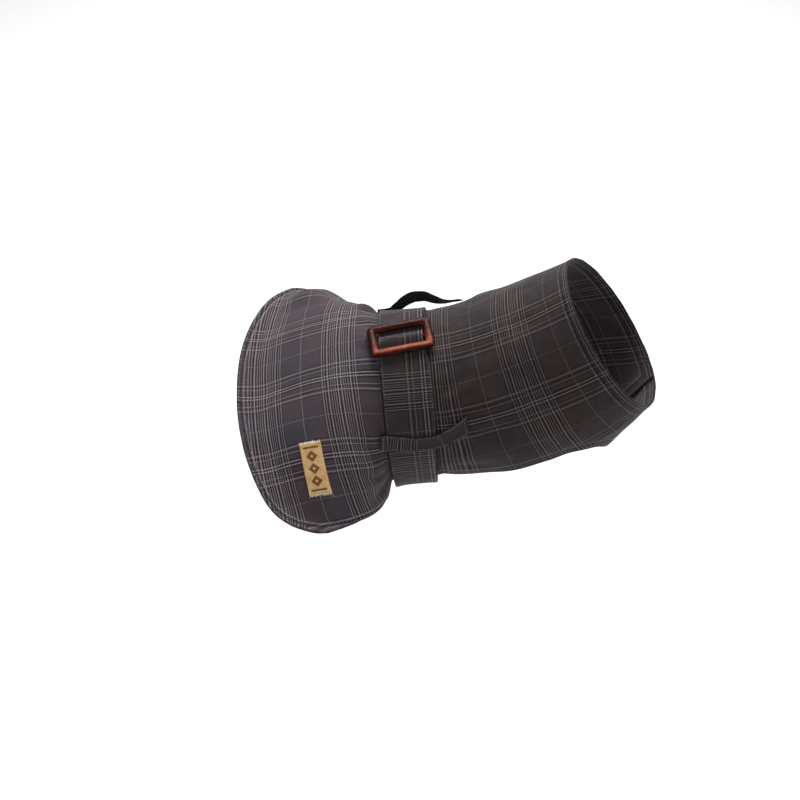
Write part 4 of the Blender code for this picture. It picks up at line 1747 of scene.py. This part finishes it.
@dataclass
class Belt:
    """Wide belt over the waist seam, its ends lapped under the belly."""

    form: WornForm
    finish: PlaidFinish
    buckle: Buckle
    rise: float = 2.5
    rise_half: float = 7.0
    sag: float = 2.0
    sag_at: float = 136.0
    sag_half: float = 22.0
    shift: float = 28.0
    fine_half: float = 7.2
    lean_over: float = 18.0
    calm_from: float = 12.0
    calm_over: float = 10.0
    end_rows: tuple[float, float] = (4.0, 22.0)

    def lift(self, station: Array, reach: Array) -> Array:
        """Give the belt's height over the form: hump at the buckle, lap under the belly."""
        lean = tan(radians(self.buckle.tilt))
        away = reach - self.buckle.reach - (station - self.buckle.station) * lean
        share = np.clip(np.abs(away) / self.rise_half, 0, 1)
        hump = self.rise * np.cos(pi / 2 * share) ** 2
        hump = hump + self.sag * bell(reach - self.sag_at, self.sag_half)
        return CLOTH + GAP + hump + lap_lift(reach, np.array(WAIST_RADIUS))

    def places(self) -> tuple[Array, Array, Array, Array]:
        """Work out the belt's grid.

        Returns:
            Stations, reaches, distances from the belt's edge and from its hump's middle.
        """
        half = pi * WAIST_RADIUS + LAP / 2
        fine = self.buckle.reach + np.linspace(-self.fine_half, self.fine_half, 25)
        left = np.linspace(SLIDE - half, fine[0], 96)[:-1]
        right = np.linspace(fine[-1], SLIDE + half, 92)[1:]
        columns = np.concatenate([left, fine, right])
        given = [row.reach for row in BELT_EDGES]
        rear = flowing(given, [row.rear for row in BELT_EDGES], columns)
        front = flowing(given, [row.front for row in BELT_EDGES], columns)
        close = np.array([0, 0.5, 1.1, 1.9, 3.0, 4.4, 5.8, 7.4])
        inner = np.linspace(0, 1, 9)[1:-1, None]
        low, high = rear + close[:, None], front - close[::-1, None]
        station = np.vstack([low, low[-1] + (high[0] - low[-1]) * inner, high])
        near = soft_step(2 - np.abs(columns - self.buckle.reach) / self.lean_over)
        lean = tan(radians(self.buckle.tilt)) * near
        reach = columns + (station - self.buckle.station) * lean
        ends = np.minimum(columns - columns[0], columns[-1] - columns)
        edge = np.minimum(np.minimum(station - rear, front - station), ends)
        away = np.broadcast_to(columns - self.buckle.reach, station.shape)
        return station, reach, edge, away

    def outside(self, station: Array, reach: Array, edge: Array) -> Array:
        """Give the belt's outer face.

        Args:
            station: Stations in millimetres.
            reach: Reaches in millimetres.
            edge: Distances from the belt's edge.

        Returns:
            Points in millimetres.
        """
        fold = 0.22 * bell(edge - 1.6, 1.6) - 0.10 * bell(edge - 6.2, 1.2)
        calm = soft_step((np.abs(reach - self.buckle.reach) - self.calm_from) / self.calm_over)
        relief = crease_height(BELT_CREASES, station, reach) * calm + fold * calm
        return self.form.place(station, reach, self.lift(station, reach) + CLOTH + relief)

    def build(self) -> Piece:
        """Lay the belt round the waist.

        Returns:
            The belt.
        """
        station, reach, edge, away = self.places()
        piece, column, row = flat_grid("belt_band", station.shape[1], station.shape[0])
        set_points(piece, self.outside(station, reach, edge)[row, column])
        self._flat_uv(piece, station[row, column], reach[row, column], away[row, column])
        set_edge(piece, edge[row, column])
        here = np.array(piece.data.polygons[len(piece.data.polygons) // 2].center)
        turn_outward(piece, here * (0, 1, 1) + (0, 0, WAIST_RADIUS * MM))
        thicken(piece, CLOTH)
        return piece

    def _flat_uv(self, piece: Piece, station: Array, reach: Array, away: Array) -> None:
        """Write the cut's places: the strap on the buckle's far side has its own check.

        Args:
            piece: The belt.
            station: The station of each point.
            reach: The reach of each point.
            away: How far round each point is from the middle bar.
        """
        set_cut_uv(piece, np.column_stack([station, reach]))
        layer = piece.data.uv_layers[CUT_UV]
        values = np.empty(len(piece.data.loops) * 2, np.float32)
        layer.uv.foreach_get("vector", values)
        values = values.reshape(-1, 2)
        for face in piece.data.polygons:
            corners = list(face.vertices)
            if away[corners].max() <= 0.05:
                loops = slice(face.loop_start, face.loop_start + face.loop_total)
                values[loops, 1] += self.shift * MM
        layer.uv.foreach_set("vector", values.ravel())

    def end_stitches(self) -> list[Array]:
        """Give a place for each stitch across the belt's lapped end.

        Returns:
            A matrix for each stitch.
        """
        end = SLIDE + pi * WAIST_RADIUS + LAP / 2
        station = np.arange(-12.5, 11.5, STITCH_PITCH)
        frames = []
        for back in self.end_rows:
            places = np.column_stack([station, np.full(len(station), end - back)])
            ahead = np.tile([1.0, 0.0], (len(station), 1))
            frames += surface_frames(self._lifted, places, ahead, STITCH_LIFT)
        return frames

    def _lifted(self, station: Array, reach: Array, lift: float) -> Array:
        """Give the belt's outer face away from its edges, lifted."""
        return self.form.place(station, reach, self.lift(station, reach) + CLOTH + lift)

    def dress(self, piece: Piece) -> None:
        """Give the belt its finish and its place in the frame."""
        put_on(piece, self.finish)
        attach(piece, "root")
        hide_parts("belt")


@dataclass
class BeltLoop:
    """A flat strap over the belt, sewn down at both ends."""

    form: WornForm
    finish: PlaidFinish
    name: str
    node: str
    steps: tuple[LoopStep, ...]
    end_slant: float = 0.0
    start_slant: float = 0.0
    end_share: float = 0.20
    start_share: float = 0.15

    def path(self, count: int) -> tuple[Array, Array, Array, Array, Array]:
        """Work out the strap's middle line and its directions.

        Args:
            count: How many steps to make.

        Returns:
            Middles, sideways directions, outward directions, half widths and stations.
        """
        given = [row.station for row in self.steps]
        share = np.linspace(0, 1, count)
        station = given[0] + (given[-1] - given[0]) * share
        reach, half, lift, twist = (flowing(given, [row[k] for row in self.steps], station)
                                    for k in range(1, 5))
        middle = self.form.place(station, reach, lift)
        square = unit(self.form.place(station, reach, lift + 1) - middle)
        along = unit(np.gradient(middle, axis=0))
        aside = unit(np.cross(square, along))
        square = np.cross(along, aside)
        turn = np.radians(twist)[:, None]
        wide = aside * np.cos(turn) + square * np.sin(turn)
        thick = square * np.cos(turn) - aside * np.sin(turn)
        near_end = soft_step((share - (1 - self.end_share)) / self.end_share)
        near_start = soft_step((self.start_share - share) / self.start_share)
        slant = near_end[:, None] * self.end_slant + near_start[:, None] * self.start_slant
        wide = wide + along * slant
        return middle, wide, thick, half, station

    def build(self) -> Piece:
        """Lay the strap.

        Returns:
            The strap.
        """
        middle, wide, thick, half, station = self.path(72)
        close = np.array([-1, -0.90, -0.72, -0.40, 0.0, 0.40, 0.72, 0.90, 1])
        piece, column, row = flat_grid(self.name, len(close), len(middle))
        side = close[column]
        puff = 0.16 * bell(np.abs(side) - 0.82, 0.16)
        ripple = 0.10 * np.sin(station[row] / 2.3 + side * 1.4)
        points = (middle[row] + wide[row] * (side * half[row])[:, None]
                  + thick[row] * (CLOTH + puff + ripple)[:, None])
        set_points(piece, points)
        set_cut_uv(piece, np.column_stack([station[row], side * half[row]]))
        edge = (1 - np.abs(side)) * half[row]
        set_edge(piece, np.minimum(edge, 50.0))
        turn_outward(piece, thick[len(thick) // 2])
        thicken(piece, CLOTH)
        return piece

    def tack_frames(self) -> list[Array]:
        """Give a place for each stitch that holds the strap's ends down.

        Returns:
            A matrix for each stitch.
        """
        middle, wide, thick, half, _ = self.path(120)
        frames = []
        for k, ahead in ((4, 1), (-5, -1)):
            for side in np.linspace(-0.78, 0.78, 9):
                along = unit(middle[k + ahead] - middle[k]) * ahead
                slant = unit(unit(wide[k]) + along * 0.25)
                up = unit(np.cross(along, slant))
                if np.dot(up, thick[k]) < 0:
                    up = -up
                at = middle[k] + wide[k] * side * half[k] + thick[k] * (CLOTH + 0.12)
                frames.append(np.column_stack([slant * 0.5, unit(np.cross(up, slant)), up, at]))
        return frames

    def dress(self, piece: Piece) -> None:
        """Give the strap its finish and its place in the frame."""
        put_on(piece, self.finish)
        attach(piece, "root")
        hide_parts(self.node)


@dataclass
class Tab:
    """Small woven tab sewn on the skirt, with frayed ends."""

    skirt: Skirt
    finish: TabFinish
    thread: ThreadFinish
    length: float = 34.8
    width: float = 15.0
    cloth: float = 0.9
    station: float = -73.9
    reach: float = 91.2
    columns: int = 19
    rows: int = 41
    threads: int = 125
    sewn_in: float = 1.6

    def place(self, across: Array, down: Array, lift: Array) -> Array:
        """Give a point over the skirt from a place on the tab.

        Args:
            across: Place across the tab, forward of its middle.
            down: Place along the tab, from its middle.
            lift: Height above the skirt.

        Returns:
            Points in millimetres.
        """
        station = self.station + across - 1.3 * down / self.length
        reach = self.reach + down + 0.6 * across / self.width
        base = self.skirt.base(station, reach)
        rise = np.asarray(CLOTH + lift)[..., None]
        return base + outward(self.skirt.base, station, reach) * rise

    def height(self, across: Array, down: Array) -> Array:
        """Give the tab's height over the skirt: it curls a little at its corners."""
        corner = (np.abs(across) / (self.width / 2)) ** 4 * (np.abs(down) / (self.length / 2)) ** 6
        ends = (np.abs(down) / (self.length / 2)) ** 10
        wave = 0.12 * np.sin(down / 4.1) * np.cos(across / 5.0)
        return GAP + self.cloth + 0.7 * corner + 0.25 * ends + wave

    def build(self) -> Piece:
        """Lay the tab on the skirt.

        Returns:
            The tab.
        """
        last_column, last_row = self.columns - 1, self.rows - 1
        piece, column, row = flat_grid("woven_tab", self.columns, self.rows)
        across = (column / last_column - 0.5) * self.width
        down = (row / last_row - 0.5) * self.length
        ragged = np.where((row == 0) | (row == last_row), 0.25 * np.sin(column * 2.3), 0.0)
        lift = self.height(across, down)
        set_points(piece, self.place(across, down + ragged, lift))
        set_cut_uv(piece, np.column_stack([across, down]))
        out = self.place(across, down, lift + 1.0) - self.place(across, down, lift)
        turn_outward(piece, out.mean(axis=0))
        thicken(piece, self.cloth, 70.0)
        return piece

    def build_fray(self) -> Piece:
        """Make the loose threads at the tab's two cut ends.

        Returns:
            The threads in one mesh.
        """
        rng = np.random.default_rng(7)
        nothing_selected()
        bpy.ops.mesh.primitive_cone_add(vertices=4, radius1=0.12, radius2=0.06, depth=1.0,
                                        location=(0, 0, 0.5))
        model = bpy.context.object
        bpy.ops.object.transform_apply(location=True)
        frames = []
        for end in (-1, 1):
            for _ in range(self.threads):
                across = rng.uniform(-0.5, 0.5) * self.width
                down = end * self.length / 2
                lift = GAP + rng.uniform(0.2, 1.0)
                length = rng.uniform(0.35, 1.3) + 1.1 * (rng.random() > 0.94)
                frames.append(self._fibre(across, down, lift, end, length, rng))
        long_ones = ((7.3, 1, 3.2, 0.3), (6.6, 1, 2.4, -0.2), (-7.2, 1, 2.0, -0.5),
                     (-6.9, -1, 1.8, -0.3), (2.0, -1, 1.6, 0.2))
        for across, end, length, lean in long_ones:
            down = end * self.length / 2
            frames.append(self._fibre(across, down, 0.8, end, length, rng, lean))
        return stamp("tab_fray", model, frames)

    def _fibre(self, across: float, down: float, lift: float, end: int, length: float,
               rng: np.random.Generator, lean: float | None = None) -> Array:
        """Give the frame of one loose thread.

        Args:
            across: Its root across the tab.
            down: Its root along the tab.
            lift: Its root's height.
            end: Which end of the tab it is at.
            length: Its length.
            rng: Seeded random numbers.
            lean: Its sideways lean, or none for a random one.

        Returns:
            A 3 by 4 matrix.
        """
        lean = rng.uniform(-0.6, 0.6) if lean is None else lean
        root = self.place(np.array(across), np.array(down - end * 0.3), np.array(lift))
        tip = self.place(np.array(across + lean * length), np.array(down + end * length),
                         np.array(max(lift + rng.uniform(-0.5, 0.5), 0.15)))
        ahead = tip - root
        long = unit(ahead)
        side = unit(np.cross(long, [0.3, 0.2, 1.0]))
        return np.column_stack([side, np.cross(long, side), ahead, root])

    def sewing_frames(self) -> list[Array]:
        """Give a place for each stitch that holds the tab on the skirt.

        Returns:
            A matrix for each stitch.
        """
        frames = []
        across = np.arange(-6.2, 6.3, 2.05)
        for end in (-self.length / 2 + self.sewn_in, self.length / 2 - self.sewn_in):
            down = np.full(len(across), end)
            at = self.place(across, down, self.height(across, down) + 0.05)
            up = unit(self.place(across, down, 3.0) - self.place(across, down, 2.0))
            ahead = unit(np.gradient(at, axis=0))
            side = unit(np.cross(up, ahead))
            frames += [np.column_stack([a * 0.75, s * 0.7, u * 0.7, p])
                       for a, s, u, p in zip(ahead, side, up, at)]
        return frames

    def dress(self, piece: Piece, fray: Piece) -> None:
        """Give the tab and its threads their finishes and places in the frame."""
        put_on(piece, self.finish)
        put_on(fray, self.thread)
        for each in (piece, fray):
            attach(each, "root")
        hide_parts("label")


@dataclass
class Stitching:
    """Rows of machine stitches."""

    finish: ThreadFinish
    length: float = 2.0
    thick: float = 0.34

    def build(self, name: str, frames: list[Array]) -> Piece:
        """Model one stitch and repeat it.

        Args:
            name: The piece's name.
            frames: A matrix for each stitch.

        Returns:
            All stitches in one mesh.
        """
        nothing_selected()
        bpy.ops.mesh.primitive_uv_sphere_add(segments=6, ring_count=5, radius=0.5)
        model = bpy.context.object
        with all_edited():
            bpy.ops.transform.rotate(value=pi / 2, orient_axis="Y", center_override=(0, 0, 0))
            bpy.ops.transform.resize(value=(self.length, self.thick, self.thick))
        return stamp(name, model, frames)

    def dress(self, piece: Piece, slot: str) -> None:
        """Give stitches their finish and their place in the frame."""
        put_on(piece, self.finish)
        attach(piece, "root")

    def sew(self, name: str, frames: list[Array], slot: str) -> Piece:
        """Build and dress stitches.

        Args:
            name: The piece's name.
            frames: A matrix for each stitch.
            slot: Not used.

        Returns:
            The stitches.
        """
        piece = self.build(name, frames)
        self.dress(piece, slot)
        LOG.info("%s: %d faces", name, len(piece.data.polygons))
        return piece


# --- studio


@dataclass
class Studio:
    """Pale floor, soft light and the camera."""

    distance: float = 0.900
    elevation: float = 45.0
    azimuth: float = -2.0
    focal: float = 57.86
    right: float = -0.0028
    up: float = -0.0441
    floor: float = -0.50

    def build(self) -> None:
        """Set the studio up."""
        self._camera()
        self._floor()
        self._light("key_light", (0.10, 1.05, 1.05), 0.8, 36.0)
        self._light("fill_light", (0.0, -1.4, 0.5), 1.4, 8.0)
        self._world()

    def _camera(self) -> None:
        """Put the camera where the photograph was taken."""
        tilt, turn = radians(self.elevation), radians(self.azimuth)
        back = Vector((sin(turn) * cos(tilt), -cos(turn) * cos(tilt), sin(tilt)))
        aside = Vector((cos(turn), sin(turn), 0.0))
        upward = back.cross(aside)
        place = back * self.distance
        aim = aside * self.right + upward * self.up
        data = bpy.data.cameras.new("camera")
        data.lens = self.focal
        data.sensor_width = 36.0
        data.clip_start, data.clip_end = 0.05, 20.0
        camera = bpy.data.objects.new("camera", data)
        camera.location = place
        camera.rotation_mode = "QUATERNION"
        camera.rotation_quaternion = (aim - place).to_track_quat("-Z", "Y")
        bpy.context.collection.objects.link(camera)
        bpy.context.scene.camera = camera

    def _floor(self) -> None:
        """Lay the floor."""
        nothing_selected()
        bpy.ops.mesh.primitive_plane_add(size=14, location=(0, 0, 0))
        floor = bpy.context.object
        floor.name = "studio_floor"
        for corner in floor.data.vertices:
            corner.co.z = self.floor
        floor.data.materials.append(FloorFinish().make())

    def _light(self, name: str, place: tuple[float, float, float], size: float, power: float
               ) -> None:
        """Hang one soft light.

        Args:
            name: The light's name.
            place: Where it hangs, in metres.
            size: Its side, in metres.
            power: Its power in watts.
        """
        data = bpy.data.lights.new(name, "AREA")
        data.shape = "SQUARE"
        data.size = size
        data.energy = power
        lamp = bpy.data.objects.new(name, data)
        lamp.location = place
        lamp.rotation_mode = "QUATERNION"
        lamp.rotation_quaternion = (-Vector(place)).to_track_quat("-Z", "Y")
        bpy.context.collection.objects.link(lamp)

    def _world(self) -> None:
        """Light the scene evenly from all round."""
        world = bpy.data.worlds.new("studio")
        world.use_nodes = True
        shader = world.node_tree.nodes["Background"]
        shader.inputs[0].default_value = (1.0, 1.0, 1.0, 1.0)
        shader.inputs[1].default_value = 0.42
        bpy.context.scene.world = world
        bpy.context.scene.view_settings.view_transform = "Standard"


# --- assembly


RIGHT_LOOP = table(
    LoopStep,
    (-22.5, 75.5, 6.0, 5.0, 0), (-17.5, 76.0, 6.2, 3.6, 0),
    (-8, 77.6, 6.0, 3.3, 0), (5, 78.9, 5.6, 3.3, 0),
    (15, 78.4, 5.4, 3.4, 0), (24, 74.8, 5.4, 3.2, 0),
    (33.5, 69.3, 5.6, 2.0, 0),
)
LEFT_LOOP = table(
    LoopStep,
    (-20.5, -61.5, 5.0, 2.95, 0), (-17.5, -61.5, 5.0, 3.4, 0),
    (-10, -61, 4.8, 3.8, -6), (-5, -60, 4.8, 6.0, -22),
    (2, -58.5, 4.8, 10.2, -38), (8, -57, 4.8, 11.8, -43),
    (14, -56.5, 4.8, 11.5, -42), (21, -55.5, 4.8, 8.0, -30),
    (28, -54.5, 4.8, 4.4, -10), (34, -53.5, 5.0, 2.8, 0),
    (38, -53, 5.0, 2.0, 0),
)


@dataclass
class Dress:
    """The whole dress."""

    form: WornForm = field(default_factory=WornForm)
    thread: ThreadFinish = ThreadFinish("dark_thread", (0.16, 0.14, 0.15))

    def build(self) -> None:
        """Build and dress every piece."""
        skirt = self._skirt()
        self._bodice()
        self._belt_and_buckle()
        self._loops()
        self._tab(skirt)

    def _report(self, piece: Piece) -> None:
        """Log one finished piece."""
        LOG.info("%s: %d faces", piece.name, len(piece.data.polygons))

    def _dress_panel(self, panel: ClothPanel, piece: Piece) -> None:
        """Give a panel its finish, its place in the frame and its stitches.

        Args:
            panel: The panel.
            piece: Its mesh.
        """
        put_on(piece, panel.finish)
        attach(piece, "root")
        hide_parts(panel.node)
        stitches = Stitching(self.thread).sew(panel.name + "_stitches", panel.stitch_frames(),
                                      panel.slot)
        panel.flat_area()
        self._report(piece)

    def _skirt(self) -> Skirt:
        """Build the skirt.

        Returns:
            The skirt's panel.
        """
        skirt = Skirt(self.form, PlaidFinish("skirt_plaid", seam_shade_width=21.5), "skirt_panel",
                      "skirt", "cloth", SKIRT_FOLDS, SKIRT_CREASES)
        self._dress_panel(skirt, skirt.build())
        return skirt

    def _bodice(self) -> None:
        """Build the bodice with its chest band."""
        # Painted shade: the bodice is the skirt's cloth, its colours darkened as a shaded copy.
        finish = PlaidFinish("bodice_plaid", dense_middle=19.0, sparse_middle=13.0,
                             ground=(0.031, 0.0188, 0.0192), second=(0.022, 0.0170, 0.0175),
                             yarn=(0.235, 0.188, 0.188), stitch_line=5.5, seam_shade_width=19.5)
        bodice = Bodice(self.form, finish, "bodice_panel", "bodice", "cloth", BODICE_FOLDS,
                        BODICE_CREASES, Hem(stitch=5.5))
        widest = bodice.full_width(np.array(bodice.band_low)).item() * 2
        self._dress_panel(bodice, bodice.build())

    def _belt_and_buckle(self) -> None:
        """Build the belt, the buckle and the belt's end stitches."""
        buckle = Buckle(self.form, BuckleFinish())
        # Partly a darker cloth, partly painted shade: the belt's colours are darker than the
        # skirt's, and its strong rub paints a highlight on its folded edges.
        finish = PlaidFinish("belt_plaid", Grain.TURNED, dense_middle=42.0, sparse_middle=11.3,
                             ground=(0.034, 0.0230, 0.0235), second=(0.026, 0.0215, 0.0215),
                             yarn=(0.28, 0.230, 0.230), rub_and_highlight=0.34, stitch_line=-9.0)
        belt = Belt(self.form, finish, buckle)
        band = belt.build()
        belt.dress(band)
        self._report(band)
        Stitching(self.thread).sew("belt_end_stitches", belt.end_stitches(), "belt_cloth")
        slide = buckle.build()
        buckle.dress(slide)
        self._report(slide)

    def _loops(self) -> None:
        """Build the two belt loops and the stitches that hold them."""
        # Partly darker cloth like the belt's, partly painted shade; the strong rub paints a
        # highlight on the strap's folded edges.
        near = PlaidFinish("right_loop_plaid", dense_middle=-9.0, sparse_middle=18.0,
                           ground=(0.033, 0.0210, 0.0215), second=(0.025, 0.0195, 0.0200),
                           yarn=(0.25, 0.20, 0.20), rub_and_highlight=0.50, stitch_line=-9.0)
        # Painted shade: the far loop is the same cloth, its colours darkened almost to black for
        # the shade it lies in.
        far = PlaidFinish("left_loop_plaid", dense_middle=-7.0, sparse_middle=18.0,
                          ground=(0.020, 0.0155, 0.0160), second=(0.016, 0.0140, 0.0150),
                          yarn=(0.11, 0.095, 0.095), stitch_line=-9.0)
        loops = (
            BeltLoop(self.form, near, "right_loop", "belt_loop_right", RIGHT_LOOP, 0.55, -0.32),
            BeltLoop(self.form, far, "left_loop", "belt_loop_left", LEFT_LOOP),
        )
        for loop in loops:
            strap = loop.build()
            loop.dress(strap)
            self._report(strap)
            Stitching(self.thread).sew(loop.name + "_tacks", loop.tack_frames(), "cloth")

    def _tab(self, skirt: Skirt) -> None:
        """Build the woven tab on the skirt.

        Args:
            skirt: The skirt that carries it.
        """
        tab = Tab(skirt, TabFinish(), ThreadFinish("pale_thread", (0.88, 0.83, 0.74)))
        piece, fray = tab.build(), tab.build_fray()
        tab.dress(piece, fray)
        sewing = Stitching(ThreadFinish("tan_thread", (0.50, 0.34, 0.17)))
        sewing.sew("tab_stitches", tab.sewing_frames(), "label_weave")
        self._report(piece)


def main() -> None:
    """Build the studio and the dress."""
    logging.basicConfig(level=logging.INFO, format="%(name)s: %(message)s")
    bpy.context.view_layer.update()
    Studio().build()
    Dress().build()


if __name__ == "__main__":
    main()
